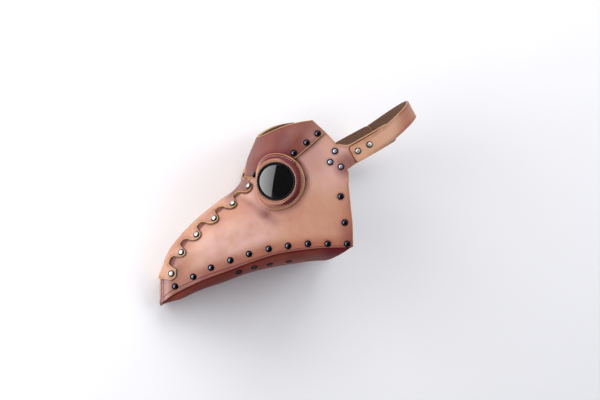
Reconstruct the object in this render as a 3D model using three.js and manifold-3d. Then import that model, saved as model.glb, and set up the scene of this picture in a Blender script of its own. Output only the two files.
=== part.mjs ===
// Leather plague doctor mask with a long drooping beak, round goggles and a head strap.
// It lies on its right side. Millimetres, +Z up, origin under the middle of its box.
// While a piece is made, x runs from the beak's tip to the back of the head, y runs up
// the face and z to the wearer's left. The last section lays the whole mask down.

import * as THREE from 'three';
import Module from 'manifold-3d';
import { mergeVertices } from 'three/addons/utils/BufferGeometryUtils.js';

const wasm = await Module();
wasm.setup();

// Leather layers, measured outwards from the face of the side panels
const leather = 2.5;
const layerGap = 0.6;
const upperLayer = [layerGap, layerGap + leather];
const stripLayer = [layerGap + 0.3, layerGap + leather];
const panelLayer = [-leather, 0];
const innerLayer = [-2 * leather - layerGap, -leather - layerGap];
const seamGap = 0.35;

// Front outline of the mask in its middle plane, from below the beak's tip to above the brow
const profilePoints = [
  [-3, -20], [-2.4, 1.5], [-1.3, 33], [3.5, 47.3], [12.6, 69.9], [31.4, 93.9], [54.3, 115.7],
  [79.6, 135.5], [97.9, 147.9], [110, 161.5], [117.4, 174.5], [120, 190], [126, 206.5],
  [134, 226], [144, 250],
];
const beakFront = 1;
const ridgeStart = 2;
const bridge = 10;

// How deep the rounding behind that outline is, at heights y on the outline
const roundingDepths = [
  [0, 9], [40, 10], [72, 22], [100, 36], [150, 45], [162, 36], [177, 15], [195, 19], [226, 38],
  [250, 44],
];

// Half width of the mask behind the rounding, from x: at the tip, its slope and its bend
const tipHalfWidth = 11;
const flare = 0.36;
const flareBend = 0.0004;

// Lower edge of the side panel, from the tip to the jaw corner
const lowerEdgePoints = [
  [-2.3, 1.5], [12, 12.5], [30, 22.5], [52, 33], [80, 43.5], [112, 56], [148, 67.5],
  [196, 74.3], [244, 76],
];
// Rear edge of the side panel, from the jaw corner to the brow seam
const rearEdgePoints = [
  [244, 76], [243.5, 104], [241, 130], [238.5, 156], [237, 178.7], [222.3, 211.2], [207, 229],
];
// Upper margin of the side panel, hidden under the forehead panel
const hiddenMarginPoints = [
  [117.4, 174.5], [126, 180], [143.6, 189], [160, 201], [173, 211.5], [184, 221], [193, 230],
];

// Forehead panel
const browSeamFront = 9.52;
const browTopFront = 12.8;
const browSeamRear = [208, 228];
const browTopRear = [191, 244];
const browSeamSag = 11;
const browTopRise = 4;

// Ridge strip: rivet places as [length along the ridge, reach from its middle]
const ridgeRivetPlaces = [
  [12.5, 18.3], [45.5, 20.5], [78, 22.5], [110.2, 26], [142.8, 27.8], [171.9, 28.6],
];
const stripStart = 1.5;
const stripEnd = 180.3;
const stripEndCorner = 11;
const stripFootReach = 19.5;
const lobeBeyondRivet = 5.4;
const valleyReach = [[0, 8.6], [30, 9], [60, 10.4], [92, 13.2], [124, 15], [158, 13], [190, 13]];
const stripWave = [
  [0, 1], [0.13, 0.92], [0.25, 0.04], [0.48, 0.02], [0.6, 0.18], [0.72, 0.76], [0.86, 0.95], [1, 1],
];
const firstLobeLonger = 0.09;
const wavePlaces = [0, 0.1, 0.165, 0.24, 0.34, 0.48, 0.6, 0.69, 0.84];

// Bottom panel
const flangeHeight = 12;
const keelDrops = [[0, 5], [30, 11], [105, 13.5], [150, 16.5], [244, 16]];
const throatCut = 22;

// Goggles
const eyeX = 145;
const eyeY = 162.6;
const eyeTurn = THREE.MathUtils.degToRad(18);
const lensLevel = 8.2;
const eyeHoleRadius = 25.4;
const rimRadii = [22.9, 24.8];
const lensRadius = 22.6;
const ringRadius = 37.2;
const ringFrontRadius = 28.7;
const ringSides = 26;
// Section of the ring as [part of the way out, height, 1 where the height is over the lens level]
const ringSection = [
  [0, 0.2, 0], [0.5, 0.3, 0], [1, 0, 0], [1, 2.4, 0], [0.7, 2.8, 0], [0.52, -1.4, 1],
  [0.28, 0.2, 1], [0, -0.6, 1],
];

// Strap tab and head strap: the strap lies in a plane that rises to the back of the head
const strapRise = THREE.MathUtils.degToRad(29);
const strapOrigin = new THREE.Vector3(249.6, 203.1, 0);
const strapAlong = new THREE.Vector3(Math.cos(strapRise), Math.sin(strapRise), 0);
const strapAcross = new THREE.Vector3(-Math.sin(strapRise), Math.cos(strapRise), 0);
const loopCentre = 5;
const loopDepth = 97;
const loopHalfWidth = 77.3;
const tabHalfWidth = 13.1;
const tabDrop = 0.7;
const tabEnd = 57;
const tabCorner = 6;
const strapHalfWidth = 11.4;
const strapStart = -7.9;
const strapDrop = 2;
const strapCorner = 3.5;

// Rivets
const rivetRadius = 4.2;
const rivetHeight = 2.4;
const rivetSides = 8;
const rivetLift = 0.3;
const lowerRivets = [
  [15.3, 24], [38.5, 36.8], [60.9, 48.8], [85.5, 58.5], [109.4, 66.9], [134.6, 73.5],
  [159.5, 77.4], [185.1, 80.3], [210.7, 80.3], [236, 80.3],
];
const browRivets = [[167.1, 200.3], [183.4, 214], [197.7, 226]];
const tabRivets = [[220.1, 202.8], [214, 188.3], [228, 182.2]];
const strapRivetPlaces = [0, 17];

// Colours and finishes
const leatherLook = { color: 0xb9714f, roughness: 0.5, metalness: 0 };
const undersideLook = { color: 0x7d3f2c, roughness: 0.55, metalness: 0 };
const rimLook = { color: 0x0b0b0c, roughness: 0.3, metalness: 0 };
const lensLook = { color: 0x14161a, roughness: 0.05, metalness: 0 };
const darkRivetLook = { color: 0x3a3c44, roughness: 0.22, metalness: 1 };
const brightRivetLook = { color: 0xc9c8c6, roughness: 0.2, metalness: 1 };

// Helpers on numbers and curves
const mix = (a, b, part) => a + (b - a) * part;
const ease = (low, high, value) => THREE.MathUtils.smoothstep(value, low, high);

// A value read from a table of [place, value], eased between its places
function eased(table, place) {
  const last = table.length - 1;
  if (place <= table[0][0]) return table[0][1];
  for (let index = 1; index <= last; index += 1) {
    const [high, valueHigh] = table[index];
    const [low, valueLow] = table[index - 1];
    if (place < high) return mix(valueLow, valueHigh, ease(low, high, place));
  }
  return table[last][1];
}

const flatCurve = (points) => new THREE.CatmullRomCurve3(
  points.map(([x, y]) => new THREE.Vector3(x, y, 0)), false, 'catmullrom', 0.5);

// The point of a curve at a place counted in its own points
const atKnot = (curve, knot) => curve.getPoint(knot / (curve.points.length - 1));

const profile = flatCurve(profilePoints);
const lowerEdge = flatCurve(lowerEdgePoints);
const rearEdge = flatCurve(rearEdgePoints);
const hiddenMargin = flatCurve(hiddenMarginPoints);
const profileTrace = profile.getPoints(280);

// Nearest place on the front outline: depth behind it, height on it and the way inwards
function nearestOnProfile(x, y) {
  let best = Infinity;
  let found = null;
  for (let index = 1; index < profileTrace.length; index += 1) {
    const from = profileTrace[index - 1];
    const stepX = profileTrace[index].x - from.x;
    const stepY = profileTrace[index].y - from.y;
    const size = stepX * stepX + stepY * stepY;
    const part = THREE.MathUtils.clamp(((x - from.x) * stepX + (y - from.y) * stepY) / size, 0, 1);
    const awayX = x - from.x - stepX * part;
    const awayY = y - from.y - stepY * part;
    const distance = awayX * awayX + awayY * awayY;
    if (distance < best) {
      best = distance;
      const length = Math.sqrt(size);
      const inX = stepY / length;
      const inY = -stepX / length;
      const side = awayX * inX + awayY * inY < 0 ? -1 : 1;
      found = { depth: side * Math.sqrt(distance), height: from.y + stepY * part, inX, inY };
    }
  }
  return found;
}

const halfWidth = (x) => tipHalfWidth + flare * Math.max(x, 0) - flareBend * Math.max(x, 0) ** 2;
const widthSlope = (x) => (x > 0 ? flare - 2 * flareBend * x : 0);

// Height of the left face of the mask over its middle plane
function faceHeight(x, y) {
  const near = nearestOnProfile(x, y);
  const left = Math.max(0, 1 - Math.max(near.depth, 0) / eased(roundingDepths, near.height));
  return Math.max(seamGap, halfWidth(x) * Math.sqrt(1 - left * left));
}

// Outward direction of the left face at a point on or near it
function faceNormal(point) {
  const near = nearestOnProfile(point.x, point.y);
  const rounding = eased(roundingDepths, near.height);
  const left = Math.max(0, 1 - near.depth / rounding);
  const width = halfWidth(point.x);
  const slope = widthSlope(point.x);
  return new THREE.Vector3(
    -left * near.inX / rounding - slope * point.z * point.z / width ** 3,
    -left * near.inY / rounding,
    point.z / width ** 2,
  ).normalize();
}

const onFace = (flat) => new THREE.Vector3(flat.x, flat.y, faceHeight(flat.x, flat.y));

// A flat route, a function of 0 to 1, laid on the face and read by length along it
function laidRoute(flatAt) {
  const steps = 60;
  const places = [0];
  const lengths = [0];
  let before = onFace(flatAt(0));
  for (let step = 1; step <= steps; step += 1) {
    const place = (step / steps) ** 2;
    const now = onFace(flatAt(place));
    places.push(place);
    lengths.push(lengths[step - 1] + now.distanceTo(before));
    before = now;
  }
  const total = lengths[steps];
  const atLength = (length) => {
    let step = 1;
    while (step < steps && lengths[step] < length) step += 1;
    const part = (length - lengths[step - 1]) / (lengths[step] - lengths[step - 1]);
    const root = mix(Math.sqrt(places[step - 1]), Math.sqrt(places[step]), part);
    return flatAt(root * root);
  };
  return { total, atLength };
}

const between = (from, to) => (part) => new THREE.Vector3().lerpVectors(from, to, part);

// Solids
// A box of unit size with a grid on its faces, bent by place(u, v, w): w is 0 inside, 1 outside
function bentBoard(countU, countV, place) {
  const board = new THREE.BoxGeometry(1, 1, 1, countU, countV, 1);
  board.deleteAttribute('normal');
  board.deleteAttribute('uv');
  const merged = mergeVertices(board, 1e-4);
  const positions = merged.attributes.position;
  for (let index = 0; index < positions.count; index += 1) {
    const u = positions.getX(index) + 0.5;
    const v = positions.getY(index) + 0.5;
    const point = place(u, v, positions.getZ(index) > 0 ? 1 : 0);
    positions.setXYZ(index, point.x, point.y, point.z);
  }
  return outward(merged);
}

// Six times the signed volume of a closed mesh
function signedVolume(geometry) {
  const { position } = geometry.attributes;
  const corners = [new THREE.Vector3(), new THREE.Vector3(), new THREE.Vector3()];
  let sum = 0;
  for (let index = 0; index < geometry.index.count; index += 3) {
    corners.forEach((corner, side) => {
      corner.fromBufferAttribute(position, geometry.index.getX(index + side));
    });
    sum += corners[0].dot(corners[1].cross(corners[2]));
  }
  return sum;
}

// The same mesh with its faces pointing out
function outward(geometry) {
  if (signedVolume(geometry) > 0) return geometry;
  const { array } = geometry.index;
  for (let index = 0; index < array.length; index += 3) {
    [array[index], array[index + 1]] = [array[index + 1], array[index]];
  }
  return geometry;
}

function toSolid(geometry) {
  const plain = geometry.clone();
  plain.deleteAttribute('normal');
  plain.deleteAttribute('uv');
  const merged = mergeVertices(plain, 1e-4);
  return new wasm.Manifold(new wasm.Mesh({
    numProp: 3,
    vertProperties: new Float32Array(merged.attributes.position.array),
    triVerts: new Uint32Array(merged.index.array),
  }));
}

function toGeometry(solid) {
  const mesh = solid.getMesh();
  const geometry = new THREE.BufferGeometry();
  geometry.setAttribute('position', new THREE.BufferAttribute(mesh.vertProperties, 3));
  geometry.setIndex(new THREE.BufferAttribute(mesh.triVerts, 1));
  return geometry;
}

// The mirror image on the wearer's right
function mirrored(geometry) {
  const copy = geometry.clone();
  copy.scale(1, 1, -1);
  return outward(copy);
}

// Turns geometry made along +Z so that it stands on a point along a direction
function stoodOn(geometry, point, direction) {
  const turn = new THREE.Quaternion().setFromUnitVectors(new THREE.Vector3(0, 0, 1), direction);
  return geometry.applyQuaternion(turn).translate(point.x, point.y, point.z);
}

const mask = new THREE.Group();

function addPiece(name, geometry, look) {
  const piece = new THREE.Mesh(geometry, new THREE.MeshStandardMaterial(look));
  piece.name = name;
  mask.add(piece);
}

function addPair(name, geometry, look, ending = '') {
  addPiece(`${name}_left${ending}`, geometry, look);
  addPiece(`${name}_right${ending}`, mirrored(geometry), look);
}

// The eye: its middle on the face, the way it looks and its own axes
const eyeOnFace = onFace(new THREE.Vector3(eyeX, eyeY, 0));
const eyeAxis = new THREE.Vector3(-Math.sin(eyeTurn), 0, Math.cos(eyeTurn));
const eyeUp = new THREE.Vector3(0, 1, 0);
const eyeBack = new THREE.Vector3().crossVectors(eyeUp, eyeAxis);

const eyeDrill = toSolid(stoodOn(
  new THREE.CylinderGeometry(eyeHoleRadius, eyeHoleRadius, 80, 26).rotateX(Math.PI / 2),
  eyeOnFace, eyeAxis));

// Side panels: columns run from the ridge or the hidden margin to the lower or rear edge
const columnKnots = [
  0, 0.08, 0.3, 0.65, 1.1, 1.6, 2.2, 2.8, 3.4, 4, 4.6, 5.2, 5.8, 6.3, 6.8, 7.2, 7.6, 8, 8.6, 9.2,
  9.8, 10.4, 11, 11.6, 12.2, 12.8, 13.4, 14,
];
const jawKnot = 8;
const rowCount = 11;

function sideColumn(knot) {
  const onBeak = knot <= jawKnot;
  const from = onBeak ? atKnot(profile, ridgeStart + knot) : atKnot(hiddenMargin, knot - jawKnot);
  const to = onBeak ? atKnot(lowerEdge, knot) : atKnot(rearEdge, knot - jawKnot);
  return laidRoute(between(from, to));
}

function sideShell() {
  const columns = columnKnots.map(sideColumn);
  return bentBoard(columns.length - 1, rowCount, (u, v, w) => {
    const column = columns[Math.round(u * (columns.length - 1))];
    const point = onFace(column.atLength(v ** 1.3 * column.total));
    return point.addScaledVector(faceNormal(point), panelLayer[w]);
  });
}

// Face of the tab and the head strap at a length along and a distance across the strap
function wrapPoint(along, across) {
  const point = strapOrigin.clone();
  point.addScaledVector(strapAlong, along).addScaledVector(strapAcross, across);
  const part = THREE.MathUtils.clamp((along - loopCentre) / loopDepth, -1, 1);
  const loop = loopHalfWidth * Math.sqrt(1 - part * part);
  point.z = mix(halfWidth(point.x), loop, ease(-22, 12, along));
  return point;
}

function roundedEnd(half, corner, toEnd) {
  const into = Math.max(0, corner - toEnd);
  return half - corner + Math.sqrt(Math.max(0, corner * corner - into * into));
}

// Outward direction of any face given by a function of two numbers
function gridNormal(face, a, b, step) {
  const alongA = face(a + step, b).sub(face(a - step, b));
  const alongB = face(a, b + step).sub(face(a, b - step));
  return alongA.cross(alongB).normalize();
}

function strapTab() {
  const root = -24;
  const sunk = 0.2;
  const knots = [0, 0.07, 0.14, 0.21, 0.32, 0.47, 0.65, 0.85, 0.94, 0.985, 1];
  return bentBoard(knots.length - 1, 2, (u, v, w) => {
    const along = mix(root, tabEnd, knots[Math.round(u * (knots.length - 1))]);
    const neck = 1 - ease(root + 1, -7, along);
    const half = roundedEnd(tabHalfWidth, tabCorner, tabEnd - along);
    const across = mix(-half - 1.2 * neck, half + 6 * neck, v) - tabDrop;
    const normal = gridNormal(wrapPoint, along, across, 0.5);
    const layer = w ? panelLayer[1] - sunk : panelLayer[0] + sunk;
    return wrapPoint(along, across).addScaledVector(normal, layer);
  });
}

const sidePanel = toGeometry(toSolid(sideShell()).add(toSolid(strapTab())).subtract(eyeDrill));
addPair('side_panel', sidePanel, leatherLook);

// Forehead panel: rows run from the middle of the brow to the rear edge
function browRow(height) {
  const from = atKnot(profile, mix(browSeamFront, browTopFront, height));
  const to = new THREE.Vector3(
    mix(browSeamRear[0], browTopRear[0], height), mix(browSeamRear[1], browTopRear[1], height), 0);
  return laidRoute((part) => {
    const flat = new THREE.Vector3().lerpVectors(from, to, part);
    flat.y -= browSeamSag * (1 - height) * Math.sin(Math.PI * part ** 0.7);
    flat.y += browTopRise * height * Math.sin(Math.PI * part);
    return flat;
  });
}

// A point of the middle plane's left half, mirrored where the side is negative
function layered(flat, side, layer) {
  const point = onFace(flat);
  if (side === 0) point.z = 0;
  const normal = faceNormal(point);
  if (side === 0) normal.setZ(0).normalize();
  point.addScaledVector(normal, layer);
  if (side < 0) point.z = -point.z;
  return point;
}

function foreheadShell() {
  const rowsUp = 7;
  const rows = Array.from({ length: rowsUp + 1 }, (_, row) => browRow(row / rowsUp));
  const across = 11;
  return bentBoard(2 * across, rowsUp, (u, v, w) => {
    const row = rows[Math.round(v * rowsUp)];
    const side = Math.round((u - 0.5) * 2 * across) / across;
    return layered(row.atLength(Math.abs(side) ** 1.3 * row.total), side, upperLayer[w]);
  });
}

const farDrill = toSolid(mirrored(toGeometry(eyeDrill)));
const foreheadPanel = toGeometry(toSolid(foreheadShell()).subtract(eyeDrill).subtract(farDrill));
addPiece('forehead_panel', foreheadPanel, leatherLook);

// Ridge strip: its edges swing in and out round the rivets
const ridgeTrace = (() => {
  const knots = [];
  let length = 0;
  let before = atKnot(profile, ridgeStart);
  for (let step = 0; step <= 400; step += 1) {
    const knot = ridgeStart + (bridge - ridgeStart) * step / 400;
    const now = atKnot(profile, knot);
    length += now.distanceTo(before);
    knots.push([length, knot]);
    before = now;
  }
  return knots;
})();

function ridgeKnot(length) {
  const index = ridgeTrace.findIndex(([reached]) => reached >= length);
  return index < 0 ? ridgeTrace[ridgeTrace.length - 1][1] : ridgeTrace[index][1];
}

// A route over the ridge, square to it, from its middle down the left side
function overRidge(length) {
  const knot = ridgeKnot(length);
  const from = atKnot(profile, knot);
  const ahead = atKnot(profile, knot + 0.05).sub(atKnot(profile, knot - 0.05)).normalize();
  const inward = new THREE.Vector3(ahead.y, -ahead.x, 0);
  return laidRoute(between(from, from.clone().addScaledVector(inward, 45)));
}

// Reach of the strip's edge at a phase between two rivets: lobes round the rivets, steeper above
function stripReach(lobe, wavePlace) {
  const here = ridgeRivetPlaces[lobe];
  const next = ridgeRivetPlaces[Math.min(lobe + 1, ridgeRivetPlaces.length - 1)];
  const pitch = next === here ? 30 : next[0] - here[0];
  const later = lobe === 0 ? firstLobeLonger * Math.sin(Math.PI * wavePlace) : 0;
  const phase = wavePlace + later;
  const length = here[0] + phase * pitch;
  const tip = mix(here[1], next[1], phase) + lobeBeyondRivet;
  const reach = mix(eased(valleyReach, length), tip, eased(stripWave, wavePlace));
  return { length, reach: roundedEnd(reach, Math.min(reach, stripEndCorner), stripEnd - length) };
}

function ridgeShell() {
  const stations = [];
  [0, 0.35, 0.7].forEach((part) => {
    const length = mix(stripStart, ridgeRivetPlaces[0][0], part);
    stations.push({ length, reach: mix(stripFootReach, stripFootReach + 5.1, part ** 0.6) });
  });
  ridgeRivetPlaces.forEach((place, lobe) => {
    wavePlaces.forEach((phase) => {
      const station = stripReach(lobe, phase);
      if (station.length < stripEnd - 0.3) stations.push(station);
    });
  });
  stations.push({ length: stripEnd, reach: 6 });
  const routes = stations.map(({ length }) => overRidge(length));
  const across = 4;
  return bentBoard(stations.length - 1, 2 * across, (u, v, w) => {
    const station = Math.round(u * (stations.length - 1));
    const step = Math.round((v - 0.5) * 2 * across);
    const { reach } = stations[station];
    const middle = Math.min(9, 0.8 * reach);
    const arcs = [0, middle / 2, middle, (middle + reach) / 2, reach];
    return layered(routes[station].atLength(arcs[Math.abs(step)]), Math.sign(step), stripLayer[w]);
  });
}

addPiece('ridge_strip', ridgeShell(), leatherLook);

// Bottom panel: upturned flanges inside the side panels and a bowed sole between them
function soleFace(knot, across) {
  const turned = 0.32;
  const side = Math.min(1, Math.abs(across));
  const edge = atKnot(lowerEdge, knot);
  const up = atKnot(profile, Math.min(ridgeStart + knot, bridge)).sub(edge).normalize();
  const rise = Math.max(0, (side - (1 - turned)) / turned) * flangeHeight;
  const point = onFace(edge.clone().addScaledVector(up, rise));
  point.addScaledVector(faceNormal(point), innerLayer[1]);
  const angle = Math.PI / 2 * Math.max(0, 1 - side / (1 - turned));
  point.y -= eased(keelDrops, edge.x) * Math.sin(angle);
  point.x -= throatCut * ease(6.6, 8, knot) * Math.sin(angle);
  point.z *= Math.cos(angle);
  if (across < 0) point.z = -point.z;
  return point;
}

function soleShell() {
  const knots = [0.3, 0.6, 1, 1.5, 2, 2.6, 3.2, 3.8, 4.5, 5.2, 5.9, 6.6, 7, 7.5, 7.95];
  const acrossPlaces = [-1, -0.84, -0.68, -0.6, -0.48, -0.25, 0, 0.25, 0.48, 0.6, 0.68, 0.84, 1];
  return bentBoard(knots.length - 1, acrossPlaces.length - 1, (u, v, w) => {
    const knot = knots[Math.round(u * (knots.length - 1))];
    const across = acrossPlaces[Math.round(v * (acrossPlaces.length - 1))];
    const nearBy = THREE.MathUtils.clamp(across, -0.97, 0.97);
    const normal = gridNormal(soleFace, knot, nearBy, 0.02);
    if (normal.y > 0 && Math.abs(across) < 0.6) normal.negate();
    if (normal.z * across < 0 && Math.abs(across) >= 0.6) normal.negate();
    return soleFace(knot, across).addScaledVector(normal, w ? 0 : -leather);
  });
}

addPiece('bottom_panel', soleShell(), undersideLook);

// Goggle rings: a flange that follows the face and a raised, flat topped band round the lens
const browLine = (() => {
  const row = browRow(0);
  return Array.from({ length: 60 }, (_, step) => row.atLength(row.total * step / 59));
})();

// Height of the layer below the ring: the forehead panel's face, falling to the side panel's
function bedHeight(point) {
  let nearest = Infinity;
  let above = 0;
  browLine.forEach((place, index) => {
    const distance = Math.hypot(point.x - place.x, point.y - place.y);
    if (distance < nearest) {
      nearest = distance;
      const next = browLine[Math.min(index + 1, browLine.length - 1)];
      const last = browLine[Math.max(index - 1, 0)];
      const rise = (next.x - last.x) * (point.y - place.y);
      const run = (next.y - last.y) * (point.x - place.x);
      above = rise > run ? distance : -distance;
    }
  });
  return mix(0, upperLayer[1], ease(-7, -0.5, above)) + layerGap;
}

// The place in the eye's frame that is a height over the bed of the ring
function onBed(back, up, height) {
  const target = new THREE.Vector2(back, up);
  const aim = target.clone();
  const found = new THREE.Vector3();
  for (let round = 0; round < 6; round += 1) {
    let near = -60;
    let far = 20;
    const point = new THREE.Vector3();
    for (let halving = 0; halving < 24; halving += 1) {
      const level = (near + far) / 2;
      point.copy(eyeOnFace).addScaledVector(eyeBack, aim.x).addScaledVector(eyeUp, aim.y);
      point.addScaledVector(eyeAxis, level);
      if (point.z > faceHeight(point.x, point.y)) far = level;
      else near = level;
    }
    found.copy(point).addScaledVector(faceNormal(point), bedHeight(point) + height);
    const offset = found.clone().sub(eyeOnFace);
    aim.x += 0.8 * (target.x - offset.dot(eyeBack));
    aim.y += 0.8 * (target.y - offset.dot(eyeUp));
  }
  return found;
}

function ringPoint(angle, [part, height, overLens]) {
  const turned = Math.abs(THREE.MathUtils.radToDeg(angle > Math.PI ? angle - 2 * Math.PI : angle));
  const outer = mix(ringRadius, ringFrontRadius, ease(105, 180, turned));
  const radius = mix(eyeHoleRadius, outer, part);
  const back = radius * Math.cos(angle);
  const up = radius * Math.sin(angle);
  if (!overLens) return onBed(back, up, height);
  return eyeOnFace.clone().addScaledVector(eyeBack, back).addScaledVector(eyeUp, up)
    .addScaledVector(eyeAxis, lensLevel + height);
}

function goggleRing() {
  const points = ringSection.length;
  const places = [];
  for (let step = 0; step < ringSides; step += 1) {
    for (let corner = 0; corner < points; corner += 1) {
      places.push(...ringPoint(2 * Math.PI * step / ringSides, ringSection[corner]).toArray());
    }
  }
  const faces = [];
  for (let step = 0; step < ringSides; step += 1) {
    const next = (step + 1) % ringSides;
    for (let corner = 0; corner < points; corner += 1) {
      const after = (corner + 1) % points;
      const here = step * points;
      const there = next * points;
      faces.push(here + corner, there + corner, there + after);
      faces.push(here + corner, there + after, here + after);
    }
  }
  const geometry = new THREE.BufferGeometry();
  geometry.setAttribute('position', new THREE.Float32BufferAttribute(places, 3));
  geometry.setIndex(faces);
  return outward(geometry);
}

addPair('goggle_ring', goggleRing(), leatherLook);

// A turned piece on the eye's axis, from a closed profile of [radius, height] points
function turnedOnEye(points, sides) {
  const lathe = new THREE.LatheGeometry(points.map(([r, h]) => new THREE.Vector2(r, h)), sides);
  lathe.deleteAttribute('normal');
  lathe.deleteAttribute('uv');
  return outward(mergeVertices(stoodOn(lathe.rotateX(Math.PI / 2), eyeOnFace, eyeAxis), 1e-4));
}

const rimProfile = [
  [rimRadii[0], lensLevel - 14], [rimRadii[1], lensLevel - 14], [rimRadii[1], lensLevel + 0.4],
  [rimRadii[0], lensLevel + 1], [rimRadii[0], lensLevel - 14],
];
addPair('lens_rim', turnedOnEye(rimProfile, 26), rimLook);

const lensProfile = [
  [0, lensLevel - 2], [lensRadius, lensLevel - 2], [lensRadius, lensLevel - 0.4],
  [lensRadius * 0.55, lensLevel + 0.5], [0, lensLevel + 0.8],
];
addPair('lens', turnedOnEye(lensProfile, 26), lensLook);

// Head strap: one band round the back of the head, its ends on top of the tabs
const strapLean = (along) => (
  0.0000065 * (along + 9.5) ** 3 - strapDrop * (1 - ease(30, 85, along)));

function strapFace(turn, across) {
  const along = loopCentre + loopDepth * Math.sin(turn);
  const point = wrapPoint(along, across + strapLean(along));
  const loop = loopHalfWidth * Math.cos(turn);
  if (Math.abs(turn) > 1) point.z = loop;
  return point;
}

function headStrap() {
  const stations = 36;
  const startTurn = Math.asin((strapStart - loopCentre) / loopDepth);
  return bentBoard(stations, 2, (u, v, w) => {
    const station = Math.round(u * stations) / stations;
    const turn = mix(startTurn, Math.PI - startTurn, station);
    const side = turn <= Math.PI / 2 ? 1 : -1;
    const near = side > 0 ? turn : Math.PI - turn;
    const along = loopCentre + loopDepth * Math.sin(near);
    const half = roundedEnd(strapHalfWidth, strapCorner, along - strapStart);
    const across = mix(-half, half, v);
    const normal = gridNormal(strapFace, Math.min(near, 1.56), across, 0.01);
    if (near >= Math.PI / 2 - 1e-6) normal.copy(strapAlong);
    const away = strapAlong.clone().multiplyScalar(Math.sin(near)).setZ(Math.cos(near));
    if (normal.dot(away) < 0) normal.negate();
    const point = strapFace(near, across).addScaledVector(normal, upperLayer[w]);
    point.z *= side;
    return point;
  });
}

addPiece('head_strap', headStrap(), leatherLook);

// Rivets: domed caps on the face of whatever they fasten
function rivetCap(point, normal) {
  const dome = new THREE.LatheGeometry([
    new THREE.Vector2(0, 0), new THREE.Vector2(rivetRadius, 0),
    new THREE.Vector2(rivetRadius * 0.75, rivetHeight * 0.75), new THREE.Vector2(0, rivetHeight),
  ], rivetSides);
  dome.deleteAttribute('normal');
  dome.deleteAttribute('uv');
  return outward(mergeVertices(stoodOn(dome.rotateX(Math.PI / 2), point, normal), 1e-4));
}

function addRivets(name, places, look) {
  places.forEach(({ point, normal }, index) => {
    addPair(name, rivetCap(point, normal), look, `_${index + 1}`);
  });
}

function faceRivet(flat, layer) {
  const point = onFace(flat);
  const normal = faceNormal(point);
  return { point: point.addScaledVector(normal, layer + rivetLift), normal };
}

// Rivets at places [x, y] on the face, on top of a layer
const faceRivets = (places, layer) => places.map(([x, y]) => (
  faceRivet(new THREE.Vector3(x, y, 0), layer)));

const ridgeRivets = ridgeRivetPlaces.map(([length, reach]) => (
  faceRivet(overRidge(length).atLength(reach), upperLayer[1])));

const strapRivets = strapRivetPlaces.map((along) => {
  const normal = gridNormal(wrapPoint, along, 0, 0.5);
  const point = wrapPoint(along, 0);
  return { point: point.addScaledVector(normal, upperLayer[1] + rivetLift), normal };
});

addRivets('rivet_ridge', ridgeRivets, brightRivetLook);
addRivets('rivet_lower', faceRivets(lowerRivets, panelLayer[1]), darkRivetLook);
addRivets('rivet_brow', faceRivets(browRivets, upperLayer[1]), darkRivetLook);
addRivets('rivet_tab', faceRivets(tabRivets, panelLayer[1]), darkRivetLook);
addRivets('rivet_strap', strapRivets, brightRivetLook);

// Lay the mask down: it rests on two rivets of the beak and on the right lens rim
const restTurn = THREE.MathUtils.degToRad(-14.3685);
const restTilt = THREE.MathUtils.degToRad(5.3348);
mask.rotation.set(restTilt, restTurn, 0);
const space = new THREE.Box3().setFromObject(mask, true);
mask.position.set(-(space.min.x + space.max.x) / 2, -(space.min.y + space.max.y) / 2, -space.min.z);

export default mask;
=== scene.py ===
import math

import bmesh
import bpy
import numpy as np
from mathutils import Matrix, Vector


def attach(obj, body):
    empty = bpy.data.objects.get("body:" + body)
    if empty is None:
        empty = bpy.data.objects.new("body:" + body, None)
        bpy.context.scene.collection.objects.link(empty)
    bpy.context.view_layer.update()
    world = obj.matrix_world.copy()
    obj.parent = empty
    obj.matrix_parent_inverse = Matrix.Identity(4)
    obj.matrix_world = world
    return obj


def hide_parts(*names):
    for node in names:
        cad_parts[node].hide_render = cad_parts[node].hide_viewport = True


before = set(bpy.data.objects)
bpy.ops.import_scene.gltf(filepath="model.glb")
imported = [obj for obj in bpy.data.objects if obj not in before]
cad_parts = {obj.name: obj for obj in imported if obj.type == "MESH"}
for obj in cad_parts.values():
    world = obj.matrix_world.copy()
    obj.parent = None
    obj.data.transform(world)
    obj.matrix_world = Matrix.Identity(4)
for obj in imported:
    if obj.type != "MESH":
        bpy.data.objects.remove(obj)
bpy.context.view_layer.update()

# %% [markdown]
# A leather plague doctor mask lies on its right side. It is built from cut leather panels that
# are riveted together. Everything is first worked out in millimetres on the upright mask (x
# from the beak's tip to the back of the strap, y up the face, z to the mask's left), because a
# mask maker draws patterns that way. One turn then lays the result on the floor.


# %% [markdown]
# The front outline, the rounding behind it and the widths are the few numbers that shape the
# whole mask. They repeat the solids' numbers, so that the leather lies where the solids are.

# %% Numbers that shape the mask
# Front outline (x, y), from below the tip over the ridge to the brow. Its points count as knots.
PROFILE = [
    (-3, -20), (-2.4, 1.5), (-1.3, 33), (3.5, 47.3), (12.6, 69.9), (31.4, 93.9), (54.3, 115.7),
    (79.6, 135.5), (97.9, 147.9), (110, 161.5), (117.4, 174.5), (120, 190), (126, 206.5),
    (134, 226), (144, 250),
]
RIDGE_START = 2
BRIDGE = 10
# How far back the rounding behind the outline reaches, by height.
ROUNDING = [
    (0, 9), (40, 10), (72, 22), (100, 36), (150, 45), (162, 36), (177, 15), (195, 19), (226, 38),
    (250, 44),
]
# Half width at the tip, its growth with each millimetre back, and how that growth lets up.
TIP_HALF_WIDTH = 11
FLARE = 0.36
FLARE_BEND = 0.0004
SEAM_GAP = 0.35
LEATHER = 2.5
LAYER_GAP = 0.6
TOP_LAYER = LAYER_GAP + LEATHER

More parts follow.
